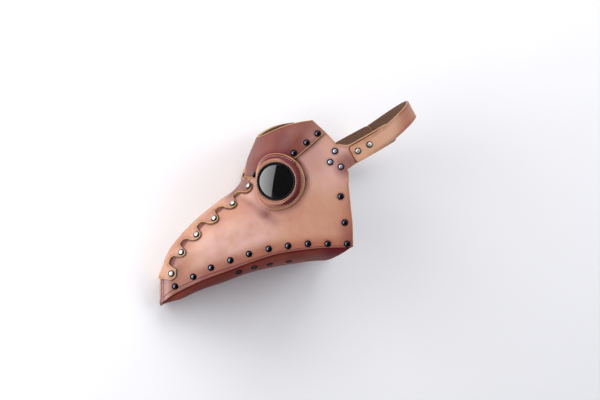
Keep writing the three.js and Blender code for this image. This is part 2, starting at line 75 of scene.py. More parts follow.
# Edges of a cheek panel (x, y). The hidden margin lies under the forehead panel.
LOWER_EDGE = [
    (-2.3, 1.5), (12, 12.5), (30, 22.5), (52, 33), (80, 43.5), (112, 56), (148, 67.5),
    (196, 74.3), (244, 76),
]
REAR_EDGE = [
    (244, 76), (243.5, 104), (241, 130), (238.5, 156), (237, 178.7), (222.3, 211.2), (207, 229),
]
HIDDEN_MARGIN = [
    (117.4, 174.5), (126, 180), (143.6, 189), (160, 201), (173, 211.5), (184, 221), (193, 230),
]
JAW_KNOT = 8

# The turn and the move that lay the worn mask on its right side, as the solids lie.
REST_TURN = math.radians(-14.3685)
REST_TILT = math.radians(5.3348)
REST_SHIFT = (-165.1395, -131.5496, 13.5997)

TO_ROW = Matrix.Rotation(REST_TILT, 3, "X") @ Matrix.Rotation(REST_TURN, 3, "Y")
TO_ROW_ARRAY = np.array(TO_ROW)


def to_row(points):
    """Millimetres on the worn mask to metres on the lying one."""
    return (np.asarray(points) @ TO_ROW_ARRAY.T + np.array(REST_SHIFT)) / 1000


def row_direction(vector):
    """A direction of the worn mask as a unit vector on the lying one."""
    return (TO_ROW @ Vector(vector)).normalized()


print("beak tip to jaw corner", LOWER_EDGE[-1][0] - PROFILE[0][0], "mm, leather", LEATHER, "mm thick")


# %% [markdown]
# The camera has the photograph's viewpoint, in front of the left cheek and a touch to the beak's
# side. The mask lies down here, so the same view looks down on it. A long lens keeps the
# outline as flat as in the photograph.

# %% Camera
VIEW_TURN = math.radians(11)
VIEW_DROP = math.radians(1)
MM_PER_PIXEL = 1.32
TIP_PIXEL = (161, 305)
FRAME_PIXELS = (600, 400)
AIM_DEPTH = 45
CAMERA_DISTANCE = 15000
SENSOR_WIDTH = 36
FARTHEST_SEEN = 40

view_right = np.array([math.cos(VIEW_TURN), 0, math.sin(VIEW_TURN)])
view_back = np.array([
    -math.sin(VIEW_TURN) * math.cos(VIEW_DROP), -math.sin(VIEW_DROP),
    math.cos(VIEW_TURN) * math.cos(VIEW_DROP),
])
view_up = np.cross(view_back, view_right)
aim = (
    view_right * (FRAME_PIXELS[0] / 2 - TIP_PIXEL[0]) * MM_PER_PIXEL
    - view_up * (FRAME_PIXELS[1] / 2 - TIP_PIXEL[1]) * MM_PER_PIXEL
    + view_back * AIM_DEPTH
)
camera_data = bpy.data.cameras.new("camera")
camera_data.sensor_width = SENSOR_WIDTH
camera_data.lens = SENSOR_WIDTH * CAMERA_DISTANCE / (FRAME_PIXELS[0] * MM_PER_PIXEL)
camera_data.clip_end = FARTHEST_SEEN
camera = bpy.data.objects.new("camera", camera_data)
bpy.context.collection.objects.link(camera)
axes = Matrix([row_direction(view_right), row_direction(view_up), row_direction(view_back)])
camera_place = to_row(aim + view_back * CAMERA_DISTANCE)
camera.matrix_world = Matrix.Translation(camera_place) @ axes.transposed().to_4x4()
bpy.context.scene.camera = camera
elevation = math.degrees(math.asin(row_direction(view_back).z))
print("camera looks down at", round(elevation), "degrees, lens", round(camera_data.lens), "mm")

# %% [markdown]
# A pattern maker draws with few points and a bent spline, so the curves here pass through
# listed points in the same way. Tables are read with an eased step between their places.
# Both work on whole arrays of places at once, which keeps fine leather quick to make.

# %% Curves and tables


def curve_at(points, knots):
    """Points of a smooth curve at places counted in its own points."""
    own = np.array(points, float)
    line = np.vstack([2 * own[0] - own[1], own, 2 * own[-1] - own[-2]])
    place = np.clip(np.asarray(knots, float), 0, len(own) - 1)
    index = np.minimum(place.astype(int), len(own) - 2)
    part = (place - index)[..., None]
    a, b, c, d = line[index], line[index + 1], line[index + 2], line[index + 3]
    return 0.5 * (
        2 * b + (c - a) * part + (2 * a - 5 * b + 4 * c - d) * part**2
        + (3 * b - a - 3 * c + d) * part**3
    )


def ease(low_end, high_end, value):
    """0 at the low end, 1 at the high end, smooth between. The ends may be swapped."""
    part = np.clip((np.asarray(value, float) - low_end) / (high_end - low_end), 0, 1)
    return part * part * (3 - 2 * part)


def eased(table, place):
    """Reads a table of (place, value), with an eased step from each value to the next."""
    place = np.asarray(place, float)
    result = np.full(place.shape, float(table[0][1]))
    for (start, value), (end, next_value) in zip(table, table[1:]):
        result = np.where(place >= start, value + (next_value - value) * ease(start, end, place), result)
    return result


def mix(a, b, part):
    return a + (b - a) * part


print("the front outline meets the bridge at", curve_at(PROFILE, BRIDGE).round(1), "mm")


# %% [markdown]
# The cheek is one smooth shape: a half width that grows towards the back, rounded off towards
# the front outline like a quarter ellipse. The mask maker gets it by wet-forming the leather
# over a last. Its height and its outward direction are enough to lay every panel on it.

# %% Depth behind the front outline
CHUNK = 4000
profile_line = curve_at(PROFILE, np.linspace(0, len(PROFILE) - 1, 281))


def near_profile(x, y):
    """Depth behind the front outline, height on it, and the way inwards."""
    start = profile_line[:-1]
    step = profile_line[1:] - start
    size = (step**2).sum(1)
    depth = np.empty(x.size)
    height = np.empty(x.size)
    inward = np.empty((x.size, 2))
    flat = np.stack([x.ravel(), y.ravel()], 1)
    for begin in range(0, len(flat), CHUNK):
        chosen = slice(begin, begin + CHUNK)
        block = flat[chosen, None, :] - start[None]
        part = np.clip((block * step).sum(2) / size, 0, 1)
        away = block - step * part[..., None]
        distance = (away**2).sum(2)
        best = distance.argmin(1)
        rows = np.arange(len(best))
        way = step[best] / np.sqrt(size[best])[:, None]
        way = np.stack([way[:, 1], -way[:, 0]], 1)
        side = np.where((away[rows, best] * way).sum(1) < 0, -1, 1)
        depth[chosen] = side * np.sqrt(distance[rows, best])
        height[chosen] = start[best, 1] + step[best, 1] * part[rows, best]
        inward[chosen] = way
    return depth.reshape(x.shape), height.reshape(x.shape), inward.reshape(x.shape + (2,))


tip_depth = near_profile(np.array([40.0]), np.array([50.0]))[0]
print("a point on the beak lies", tip_depth.round(1), "mm behind the outline")

# %% [markdown]
# A half width and a quarter ellipse turn that depth into the cheek's height over the middle
# plane. Its slope gives the outward direction, which every layer of leather is raised along.

# %% The face that all leather lies on


def half_width(x):
    ahead = np.maximum(x, 0)
    return TIP_HALF_WIDTH + FLARE * ahead - FLARE_BEND * ahead**2


def face_height(x, y):
    depth, height, _ = near_profile(x, y)
    left = np.maximum(0, 1 - np.maximum(depth, 0) / eased(ROUNDING, height))
    return np.maximum(SEAM_GAP, half_width(x) * np.sqrt(np.maximum(0, 1 - left * left)))


def face_normal(points):
    x, y, z = points[..., 0], points[..., 1], points[..., 2]
    depth, height, inward = near_profile(x, y)
    rounding = eased(ROUNDING, height)
    left = np.maximum(0, 1 - depth / rounding)
    width = half_width(x)
    slope = np.where(x > 0, FLARE - 2 * FLARE_BEND * x, 0)
    normal = np.stack([
        -left * inward[..., 0] / rounding - slope * z * z / width**3,
        -left * inward[..., 1] / rounding,
        z / width**2,
    ], -1)
    return normal / np.linalg.norm(normal, axis=-1, keepdims=True)


def on_face(flat):
    """Points (x, y) of the middle plane raised to the left half of the face."""
    flat = np.asarray(flat, float)
    return np.concatenate([flat, face_height(flat[..., 0], flat[..., 1])[..., None]], -1)


print("half width at the jaw corner", round(float(half_width(REAR_EDGE[0][0])), 1), "mm")

# %% [markdown]
# Leather doesn't stretch much, so the rows of a panel are spaced by the real length of leather
# between them, not by how they look from the side. A straight route is laid on the face and
# measured, and its points are then read off at the wanted lengths.

# %% Routes over the face
ROUTE_STEPS = 90


def laid_routes(start, end, shares):
    """Flat points on straight routes laid on the face, at shares of each route's real length."""
    places = np.linspace(0, 1, ROUTE_STEPS)**2
    flat = start[:, None] + (end - start)[:, None] * places[:, None]
    return read_routes(flat, places, shares)


def read_routes(flat, places, shares):
    """shares are parts of each route's length, or lengths in millimetres with a row per route."""
    points = on_face(flat)
    steps = np.linalg.norm(np.diff(points, axis=1), axis=2)
    lengths = np.concatenate([np.zeros((len(flat), 1)), np.cumsum(steps, 1)], 1)
    result = np.empty((len(flat), shares.shape[-1], 2))
    for row in range(len(flat)):
        wanted = shares[row] if shares.ndim > 1 else shares * lengths[row, -1]
        root = np.interp(wanted, lengths[row], np.sqrt(places))
        for axis in range(2):
            result[row, :, axis] = np.interp(root, np.sqrt(places), flat[row, :, axis])
    return result


bridge_route = laid_routes(
    curve_at(PROFILE, np.array([BRIDGE])), curve_at(LOWER_EDGE, np.array([BRIDGE - RIDGE_START])),
    np.linspace(0, 1, 40))
bridge_steps = np.diff(on_face(bridge_route[0]), axis=0)
print("leather from bridge to jaw", round(np.linalg.norm(bridge_steps, axis=1).sum()), "mm")

# %% [markdown]
# A leather panel is a flat cut sheet that is bent. It could be drawn face by face, but a plain
# grid that is moved on to its curved place is simpler, and its even faces bend well. The right
# half of the mask is the left half mirrored, so each maker below gets a side and its turn.

# %% Grids bent into panels
MIRROR = np.array([1, 1, -1.0])
SIDES = (("left", np.ones(3)), ("right", MIRROR))


def grid_piece(points, closed_u=False):
    """A mesh from an array of points [u, v, xyz] in millimetres of the worn mask."""
    count_u, count_v = points.shape[:2]
    mesh = bmesh.new()
    bmesh.ops.create_grid(mesh, x_segments=count_u - 1, y_segments=count_v - 1, size=0.5)
    placed = to_row(points)
    for vertex in mesh.verts:
        u = round((vertex.co.x + 0.5) * (count_u - 1))
        v = round((vertex.co.y + 0.5) * (count_v - 1))
        vertex.co = placed[u, v]
    if closed_u:
        bmesh.ops.remove_doubles(mesh, verts=mesh.verts, dist=1e-6)
    return mesh


def face_out(mesh, direction):
    """Makes the faces agree, then turns them all if most look away from the direction."""
    bmesh.ops.recalc_face_normals(mesh, faces=mesh.faces)
    mesh.normal_update()
    outward = row_direction(direction)
    if sum(face.normal.dot(outward) for face in mesh.faces) < 0:
        bmesh.ops.reverse_faces(mesh, faces=mesh.faces)


# %% [markdown]
# Every piece is finished in the same way: its mesh goes into an object, it rides the mask's one
# body, and it takes the place of its solid. A panel then gets an even thickness inwards and a
# small bevel, which is what a burnisher leaves on a cut edge. Two modifiers do that, so the
# pattern itself stays a single sheet.

# %% Finish a piece
EDGE_ROUNDING = 0.55
EDGE_SEGMENTS = 3
SHARP_FROM = math.radians(55)


def finish_piece(name, mesh, materials, node=None):
    mesh.normal_update()
    data = bpy.data.meshes.new(name)
    mesh.to_mesh(data)
    mesh.free()
    for material in materials:
        data.materials.append(material)
    data.shade_smooth()
    piece = bpy.data.objects.new(name, data)
    bpy.context.collection.objects.link(piece)
    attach(piece, "root")
    if node:
        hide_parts(node)
    return piece


def thicken(piece, thickness):
    """The second material goes on the cut edge and the third on the inside."""
    solid = piece.modifiers.new("thickness", "SOLIDIFY")
    solid.thickness = thickness / 1000
    solid.offset = -1
    solid.material_offset = 2
    solid.material_offset_rim = 1
    round_off = piece.modifiers.new("edges", "BEVEL")
    round_off.width = EDGE_ROUNDING / 1000
    round_off.segments = EDGE_SEGMENTS
    round_off.limit_method = "ANGLE"
    round_off.angle_limit = SHARP_FROM
    round_off.harden_normals = False


# %% [markdown]
# Leather darkens along its edges, and shade is painted along its seams, so each point of a panel
# keeps how far it is from them.
# An image could carry that, but distances in millimetres stay sharp at any size and follow the
# pattern when it changes.

# %% What each point keeps


def write_attribute(piece, name, values):
    layer = piece.data.attributes.new(name, "FLOAT", "POINT")
    layer.data.foreach_set("value", np.asarray(values, np.float32))


# The field for stain also holds painted shade, and the haze field holds a painted lilac sheen above 0
# and a warmer tone below 0.
def paint(piece, edge, stain_and_shade=0.0, haze=0.0, gilt=1.0):
    """Writes the fields that the leather reads: all in parts of one, but the edge in millimetres."""
    for name, values in (("edge", edge), ("stain_and_shade", stain_and_shade), ("haze", haze), ("gilt", gilt)):
        write_attribute(piece, name, values + np.zeros(len(piece.data.vertices)))


def own_points(placed):
    """Metres on the lying mask back to millimetres on the worn one."""
    return (placed * 1000 - np.array(REST_SHIFT)) @ TO_ROW_ARRAY


def own_place(mesh):
    return own_points(np.array([vertex.co[:] for vertex in mesh.verts]))


def rim_points(mesh, own):
    """Those of the mesh's own points that lie on its cut edges."""
    return own[np.array([vertex.is_boundary for vertex in mesh.verts])]


def nearest(points, line):
    """Which point of the line is nearest to each point, and how far away it is."""
    best = np.empty(len(points), int)
    distance = np.empty(len(points))
    for begin in range(0, len(points), CHUNK):
        chosen = slice(begin, begin + CHUNK)
        squares = ((points[chosen, None] - line[None])**2).sum(2)
        best[chosen] = squares.argmin(1)
        distance[chosen] = np.sqrt(squares.min(1))
    return best, distance


def distance_to(points, line):
    return nearest(points, line)[1]


# %% [markdown]
# All materials here are procedural. They read a piece's Object coordinates or its painted
# fields, never an image, so they need no unwrapping. A few small helpers keep the node trees
# readable: each adds one node and hands back its output.

# %% Shader helpers


def socket_mix(tree, kind, factor, first, second):
    """Mixes two colours or two numbers. Each input is a socket or a constant."""
    node = tree.nodes.new("ShaderNodeMix")
    node.data_type = "RGBA" if kind == "colour" else "FLOAT"
    node.clamp_factor = True
    numbers = (0, 6, 7, 2) if kind == "colour" else (0, 2, 3, 0)
    for index, value in zip(numbers[:3], (factor, first, second)):
        if isinstance(value, bpy.types.NodeSocket):
            tree.links.new(value, node.inputs[index])
        else:
            node.inputs[index].default_value = value
    return node.outputs[numbers[3]]


def math_node(tree, operation, first, second=None, clamp=False):
    node = tree.nodes.new("ShaderNodeMath")
    node.operation = operation
    node.use_clamp = clamp
    for index, value in enumerate((first, second)):
        if value is None:
            continue
        if isinstance(value, bpy.types.NodeSocket):
            tree.links.new(value, node.inputs[index])
        else:
            node.inputs[index].default_value = value
    return node.outputs[0]


def ramp(tree, value, low_end, high_end):
    """0 below the low end, 1 above the high end, smooth between. The ends may be swapped."""
    node = tree.nodes.new("ShaderNodeMapRange")
    node.interpolation_type = "SMOOTHSTEP"
    tree.links.new(value, node.inputs["Value"])
    turned = low_end > high_end
    node.inputs["From Min"].default_value = min(low_end, high_end)
    node.inputs["From Max"].default_value = max(low_end, high_end)
    node.inputs["To Min"].default_value = 1.0 if turned else 0.0
    node.inputs["To Max"].default_value = 0.0 if turned else 1.0
    return node.outputs["Result"]


def noise(tree, where, scale, detail=3.0, roughness=0.55, distortion=0.0):
    node = tree.nodes.new("ShaderNodeTexNoise")
    tree.links.new(where, node.inputs["Vector"])
    node.inputs["Scale"].default_value = scale
    node.inputs["Detail"].default_value = detail
    node.inputs["Roughness"].default_value = roughness
    node.inputs["Distortion"].default_value = distortion
    return node.outputs["Fac"]


def attribute(tree, name):
    """Reads one of the fields that were painted on the points."""
    node = tree.nodes.new("ShaderNodeAttribute")
    node.attribute_name = name
    return node.outputs["Fac"]


def new_material(name):
    """A material, its tree and shader, and the piece's own coordinates."""
    material = bpy.data.materials.new(name)
    material.use_nodes = True
    tree = material.node_tree
    shader = tree.nodes["Principled BSDF"]
    where = tree.nodes.new("ShaderNodeTexCoord").outputs["Object"]
    return material, tree, shader, where


def bumped(tree, shader, height, distance):
    """Relief from a height field. The distance is the depth of one unit, in metres."""
    bump = tree.nodes.new("ShaderNodeBump")
    bump.inputs["Distance"].default_value = distance
    tree.links.new(height, bump.inputs["Height"])
    tree.links.new(bump.outputs["Normal"], shader.inputs["Normal"])


# %% [markdown]
# Old-looking leather has four layers of colour: tan, a rosy red brown where the dye is thicker,
# a dark colour for antique stain and for painted shade in creases and along seams, and bare golden
# fibre where the edge was cut. A painted lilac sheen and a painted highlight go over them. Fine
# pebbled grain is a bump, and a wax finish gives a second soft shine.

# %% Colours and grain of the leather
# A painted lilac sheen, a warm red tone, a painted lilac highlight, the painted shade of a crease, and
# one dark colour for antique stain and painted shade alike.
PAINTED_SHEEN = (0.55, 0.32, 0.275, 1)
WARM = (0.34, 0.115, 0.062, 1)
LILAC_HIGHLIGHT = (0.42, 0.24, 0.29, 1)
CREASE_SHADE = (0.10, 0.008, 0.014, 1)
STAIN_AND_SHADE = (0.12, 0.014, 0.018, 1)
GOLD = (0.56, 0.34, 0.13, 1)
GILT_REACH = 0.9
MARGIN_REACH = 6.5
GRAIN_SCALE = 620
GRAIN_DEPTH = 0.00022


def grain_height(tree, where):
    """Pebbled grain: small cells with worn tops, over softer hills."""
    cells = tree.nodes.new("ShaderNodeTexVoronoi")
    cells.feature = "DISTANCE_TO_EDGE"
    cells.inputs["Scale"].default_value = GRAIN_SCALE
    bend = tree.nodes.new("ShaderNodeVectorMath")
    bend.operation = "ADD"
    wobble = tree.nodes.new("ShaderNodeTexNoise")
    wobble.inputs["Scale"].default_value = 260
    tree.links.new(where, wobble.inputs["Vector"])
    shrink = tree.nodes.new("ShaderNodeVectorMath")
    shrink.operation = "SCALE"
    shrink.inputs["Scale"].default_value = 0.0016
    tree.links.new(wobble.outputs["Color"], shrink.inputs[0])
    tree.links.new(where, bend.inputs[0])
    tree.links.new(shrink.outputs["Vector"], bend.inputs[1])
    tree.links.new(bend.outputs["Vector"], cells.inputs["Vector"])
    tops = ramp(tree, cells.outputs["Distance"], 0.0, 0.22)
    hills = noise(tree, where, 95, 2.0)
    return math_node(tree, "ADD", math_node(tree, "MULTIPLY", tops, 0.4), hills)


# %% [markdown]
# Each layer is mixed over the ones below it by a factor from 0 to 1, in turn: dye, painted sheen,
# then stain and painted shade. Distances in millimetres from an edge or a line make the sharp
# parts, and noise breaks them up. The cheeks also have tooled lines, pressed in before the leather
# is dyed.

# %% Layers of the leather


def tooled_lines(tree, colour, height, haze):
    """The lower margin's groove, and the rolled margin's painted shade, darkest at its crease, with a
    painted highlight on top.
    """
    line = attribute(tree, "line")
    groove = math_node(tree, "MULTIPLY", ramp(tree, line, -0.8, -0.2), ramp(tree, line, 0.8, 0.2))
    colour = socket_mix(tree, "colour", math_node(tree, "MULTIPLY", groove, 0.85), colour, STAIN_AND_SHADE)
    height = math_node(tree, "SUBTRACT", height, math_node(tree, "MULTIPLY", groove, 2.4))
    # Painted shade over the rolled margin where it turns under the strip, darkest at its crease.
    crease = attribute(tree, "crease")
    rolled = math_node(tree, "MULTIPLY", ramp(tree, crease, -6.5, -4.5), ramp(tree, crease, 0.6, -0.2))
    colour = socket_mix(tree, "colour", math_node(tree, "MULTIPLY", rolled, 0.88), colour, CREASE_SHADE)
    # A painted highlight on the roll's top, stronger where the haze field is high.
    lit = math_node(tree, "MULTIPLY", ramp(tree, crease, -3.6, -2.8), ramp(tree, crease, -1.0, -1.7))
    seen = socket_mix(tree, "number", haze, 0.2, 0.85)
    colour = socket_mix(tree, "colour", math_node(tree, "MULTIPLY", lit, seen), colour, LILAC_HIGHLIGHT)
    return colour, math_node(tree, "ADD", height, math_node(tree, "MULTIPLY", lit, 1.5))


def leather(name, tan, rosy, tooled=False, shine=0.3, specular=0.4):
    """Tan leather with clouds of red dye, a painted lilac sheen, stains and painted shade, and golden
    cut edges.
    """
    material, tree, shader, where = new_material(name)
    edge = attribute(tree, "edge")
    stain_and_shade = attribute(tree, "stain_and_shade")
    haze = attribute(tree, "haze")
    clouds = noise(tree, where, 15, 4.0, 0.6, 0.4)
    patches = noise(tree, where, 48, 4.0, 0.62)
    colour = socket_mix(tree, "colour", ramp(tree, clouds, 0.40, 0.68), tan, rosy)
    # Below 0 the haze field gives a warm red tone, above 0 a painted lilac sheen in patches.
    colour = socket_mix(tree, "colour", math_node(tree, "MULTIPLY", haze, -1.0, True), colour, WARM)
    sheen_amount = math_node(tree, "MULTIPLY", haze, ramp(tree, patches, 0.12, 0.62), True)
    colour = socket_mix(tree, "colour", sheen_amount, colour, PAINTED_SHEEN)
    worn = math_node(tree, "MULTIPLY", ramp(tree, patches, 0.3, 0.75), 0.5)
    # The field for stain also carries painted shade: both darken towards one dark colour.
    darkened = math_node(tree, "ADD", stain_and_shade, math_node(tree, "MULTIPLY", worn, stain_and_shade), True)
    near_edge = ramp(tree, edge, MARGIN_REACH, 1.0)
    margin = math_node(tree, "MULTIPLY", near_edge, ramp(tree, patches, 0.2, 0.7))
    darkened = math_node(tree, "MAXIMUM", darkened, math_node(tree, "MULTIPLY", margin, 0.5), True)
    colour = socket_mix(tree, "colour", darkened, colour, STAIN_AND_SHADE)
    height = grain_height(tree, where)
    if tooled:
        colour, height = tooled_lines(tree, colour, height, haze)
    gilt = math_node(tree, "MULTIPLY", ramp(tree, edge, GILT_REACH, 0.3), attribute(tree, "gilt"))
    colour = socket_mix(tree, "colour", gilt, colour, GOLD)
    tree.links.new(colour, shader.inputs["Base Color"])
    tree.links.new(
        socket_mix(tree, "number", patches, 0.38, 0.54), shader.inputs["Roughness"])
    shader.inputs["Coat Weight"].default_value = shine
    shader.inputs["Coat Roughness"].default_value = 0.26
    shader.inputs["Specular IOR Level"].default_value = specular
    bumped(tree, shader, height, GRAIN_DEPTH)
    return material


# %% [markdown]
# A cut edge shows golden fibre, and the flesh side, inside the mask, is rough and brown. The
# panels are dyed a little differently: the cheeks tan, the brow and the sole dark red brown,
# and the strap pale, as it is cut from another hide.

# %% Cut edges, flesh side and the dyed leathers
TAN = (0.49, 0.25, 0.155, 1)
ROSY = (0.40, 0.17, 0.12, 1)
RING_TAN = (0.52, 0.265, 0.165, 1)
RING_ROSY = (0.45, 0.195, 0.13, 1)
BROW_TAN = (0.185, 0.055, 0.040, 1)
BROW_ROSY = (0.135, 0.033, 0.028, 1)
STRAP_TAN = (0.58, 0.31, 0.20, 1)
STRAP_ROSY = (0.50, 0.23, 0.14, 1)
BROWN = (0.22, 0.050, 0.034, 1)
BROWN_ROSY = (0.15, 0.032, 0.024, 1)
EDGE_DARK = (0.33, 0.17, 0.06, 1)
EDGE_STAINED = (0.16, 0.05, 0.035, 1)
FLESH = (0.20, 0.10, 0.06, 1)


def edge_leather(name):
    """Cut edges: golden where the gilt attribute says, else stained like the face."""
    material, tree, shader, where = new_material(name)
    fibre = noise(tree, where, 700, 4.0, 0.7)
    gold = socket_mix(tree, "colour", ramp(tree, fibre, 0.3, 0.7), EDGE_DARK, GOLD)
    colour = socket_mix(tree, "colour", attribute(tree, "gilt"), EDGE_STAINED, gold)
    tree.links.new(colour, shader.inputs["Base Color"])
    shader.inputs["Roughness"].default_value = 0.5
    bumped(tree, shader, fibre, 0.0003)
    return material


def rough_leather(name, colour, roughness, grain):
    material, tree, shader, where = new_material(name)
    speckle = noise(tree, where, grain, 4.0, 0.7)
    darker = tuple(c * 0.6 for c in colour[:3]) + (1,)
    tree.links.new(
        socket_mix(tree, "colour", ramp(tree, speckle, 0.3, 0.7), darker, colour),
        shader.inputs["Base Color"])
    shader.inputs["Roughness"].default_value = roughness
    bumped(tree, shader, speckle, 0.0004)
    return material


cheek_leather = leather("cheek_leather", TAN, ROSY, tooled=True)
tan_leather = leather("tan_leather", TAN, ROSY)
ring_leather = leather("ring_leather", RING_TAN, RING_ROSY, shine=0.08, specular=0.2)
brow_leather = leather("brow_leather", BROW_TAN, BROW_ROSY, shine=0.1, specular=0.2)
strap_leather = leather("strap_leather", STRAP_TAN, STRAP_ROSY, shine=0.1, specular=0.25)
brown_leather = leather("brown_leather", BROWN, BROWN_ROSY, shine=0.0, specular=0.05)
raw_edge = edge_leather("raw_edge")
flesh_side = rough_leather("flesh_side", FLESH, 0.85, 420)
edge_and_inside = (raw_edge, flesh_side)
print("leather materials:", sum("leather" in material.name for material in bpy.data.materials))

# %% [markdown]
# The eye sits on the cheek and is turned towards the front. Its ring, rim and lens share one
# axis, so that axis is worked out once. The panels below have a round hole on it: faces are
# deleted there, and the ragged rim that is left is drawn on to the circle.

# %% Eye axis
EYE_X = 145
EYE_Y = 162.6
EYE_TURN = math.radians(18)
LENS_LEVEL = 8.2
EYE_HOLE_RADIUS = 25.4
EYE_CUT_RADIUS = 26.2
RING_RADIUS = 37.2
RING_FRONT_RADIUS = 28.7
EYE_REACH = 45
CUT_MARGIN = 0.6
RIM_SEARCH = 1.25
RELAXED = 0.8

eye_on_face = on_face(np.array([EYE_X, EYE_Y]))
eye_axis = np.array([-math.sin(EYE_TURN), 0, math.cos(EYE_TURN)])
eye_up = np.array([0.0, 1, 0])
eye_back = np.cross(eye_up, eye_axis)
print("eye on the face at", eye_on_face.round(1))


def ring_outline(angle):
    """Distance from the eye's axis to the ring's outer edge: less at the bridge."""
    turned = np.degrees(np.abs((angle + np.pi) % (2 * np.pi) - np.pi))
    return mix(RING_RADIUS, RING_FRONT_RADIUS, ease(105, 180, turned))


def from_eye_axis(points):
    """Points of the left half seen from the eye's axis: their offset, its size, and the depth."""
    away = points - eye_on_face
    along = away @ eye_axis
    away = away - along[:, None] * eye_axis
    return away, np.linalg.norm(away, axis=1), np.abs(along)


def cut_eye_hole(mesh, turn, layer):
    """Cuts the hole behind a lens, then draws its rim along the face on to a circle."""
    centres = np.array([face.calc_center_median()[:] for face in mesh.faces])
    _, distance, depth = from_eye_axis(own_points(centres) * turn)
    inside = (distance < EYE_CUT_RADIUS + CUT_MARGIN) & (depth < EYE_REACH)
    cut_faces = [face for face, cut in zip(mesh.faces, inside) if cut]
    bmesh.ops.delete(mesh, geom=cut_faces, context="FACES")
    rim = [vertex for vertex in mesh.verts if vertex.is_boundary]
    points = own_points(np.array([vertex.co[:] for vertex in rim])) * turn
    _, distance, depth = from_eye_axis(points)
    near = (distance < EYE_CUT_RADIUS * RIM_SEARCH) & (depth < EYE_REACH)
    points = points[near]
    for _ in range(8):
        away, distance, _ = from_eye_axis(points)
        points = points + away * (EYE_CUT_RADIUS / distance - 1)[:, None] * RELAXED
        below = points - face_normal(on_face(points[:, :2])) * layer
        base = on_face(below[:, :2])
        points = base + face_normal(base) * layer
    rim = [vertex for vertex, chosen in zip(rim, near) if chosen]
    for vertex, place in zip(rim, to_row(points * turn)):
        vertex.co = place


def in_eye(points):
    """Distance from the ring's outline, in millimetres: negative inside."""
    away = points - eye_on_face
    back = away @ eye_back
    up = away @ eye_up
    return np.hypot(back, up) - ring_outline(np.arctan2(up, back))


# %% [markdown]
# The brow seam is where the forehead panel's cut edge lies on the cheeks. Its rows run from the
# middle of the brow to the rear edge, and sag to follow the seam's curve.

# %% Brow rows
BROW_SEAM_FRONT = 9.52
BROW_TOP_FRONT = 12.8
BROW_SEAM_REAR = np.array([208.0, 228.0])
BROW_TOP_REAR = np.array([191.0, 244.0])
BROW_SEAM_SAG = 11
BROW_TOP_RISE = 4


def brow_row(height, count):
    """A row of the forehead panel: height 0 is the seam and 1 the top edge."""
    start = curve_at(PROFILE, mix(BROW_SEAM_FRONT, BROW_TOP_FRONT, height))
    end = mix(BROW_SEAM_REAR, BROW_TOP_REAR, height)
    places = np.linspace(0, 1, 120)**2
    flat = start + (end - start) * places[:, None]
    flat[:, 1] -= BROW_SEAM_SAG * (1 - height) * np.sin(np.pi * places**0.7)
    flat[:, 1] += BROW_TOP_RISE * height * np.sin(np.pi * places)
    return read_routes(flat[None], places, np.linspace(0, 1, count))[0]


brow_line = brow_row(0, 160)


def above_seam(points):
    """Distance in the middle plane's directions over the brow seam: negative below it."""
    flat = points[..., :2].reshape(-1, 2)
    best, distance = nearest(flat, brow_line)
    ahead = brow_line[np.minimum(best + 1, len(brow_line) - 1)] - brow_line[np.maximum(best - 1, 0)]
    away = flat - brow_line[best]
    cross = ahead[:, 0] * away[:, 1] - ahead[:, 1] * away[:, 0]
    return (distance * np.sign(cross)).reshape(points.shape[:-1])


print("brow seam from", brow_line[0].round(1), "to", brow_line[-1].round(1), "mm")

# %% [markdown]
# The ridge strip covers the seam between the cheeks. Its edges swing round six rivets a side,
# steep above each rivet and easy below it. The edge's reach is needed twice: to cut the strip
# and to paint the strip's shadow on the cheek beside it.

# %% Scalloped edge of the ridge strip
RIDGE_RIVETS = [(12.5, 18.3), (45.5, 20.5), (78, 22.5), (110.2, 26), (142.8, 27.8), (171.9, 28.6)]
STRIP_START = 1.5
STRIP_END = 180.3
STRIP_END_CORNER = 11
LOBE_BEYOND_RIVET = 5.4
VALLEY_REACH = [(0, 8.6), (30, 9), (60, 10.4), (92, 13.2), (124, 15), (158, 13), (190, 13)]
STRIP_WAVE = [
    (0, 1), (0.13, 0.92), (0.25, 0.04), (0.48, 0.02), (0.6, 0.18), (0.72, 0.76), (0.86, 0.95), (1, 1),
]
FIRST_LOBE_LONGER = 0.09
LAST_PITCH = 30
FRONT_REACH = 19.5
FIRST_LOBE_REACH = 24.9
FRONT_LENGTH = 11
WIDEST_REACH = 45

ridge_knots = np.linspace(RIDGE_START, BRIDGE, 900)
ridge_line = curve_at(PROFILE, ridge_knots)
ridge_lengths = np.concatenate([[0], np.cumsum(np.linalg.norm(np.diff(ridge_line, axis=0), axis=1))])


def strip_reach(length):
    """How far the strip reaches down the cheek, at lengths along the ridge."""
    length = np.asarray(length, float)
    lengths = [place[0] for place in RIDGE_RIVETS] + [RIDGE_RIVETS[-1][0] + LAST_PITCH]
    reaches = [place[1] for place in RIDGE_RIVETS] + [RIDGE_RIVETS[-1][1]]
    lobe = np.clip(np.searchsorted(lengths, length, side="right") - 1, 0, 5)
    start = np.take(lengths, lobe)
    pitch = np.take(lengths, lobe + 1) - start
    phase = np.clip((length - start) / pitch, 0, 1)
    wave_places = np.linspace(0, 1, 200)
    later = wave_places + FIRST_LOBE_LONGER * np.sin(np.pi * wave_places)
    wave = np.where(lobe == 0, np.interp(phase, later, wave_places), phase)
    tip = mix(np.take(reaches, lobe), np.take(reaches, lobe + 1), phase) + LOBE_BEYOND_RIVET
    reach = mix(eased(VALLEY_REACH, length), tip, eased(STRIP_WAVE, wave))
    into_front = np.clip((length - STRIP_START) / FRONT_LENGTH, 0, 1)
    front = mix(FRONT_REACH, FIRST_LOBE_REACH, into_front**0.6)
    reach = np.where(length < lengths[0], front, reach)
    corner = np.minimum(reach, STRIP_END_CORNER)
    into = np.clip(corner - (STRIP_END - length), 0, corner)
    return reach - corner + np.sqrt(np.maximum(0, corner**2 - into**2))


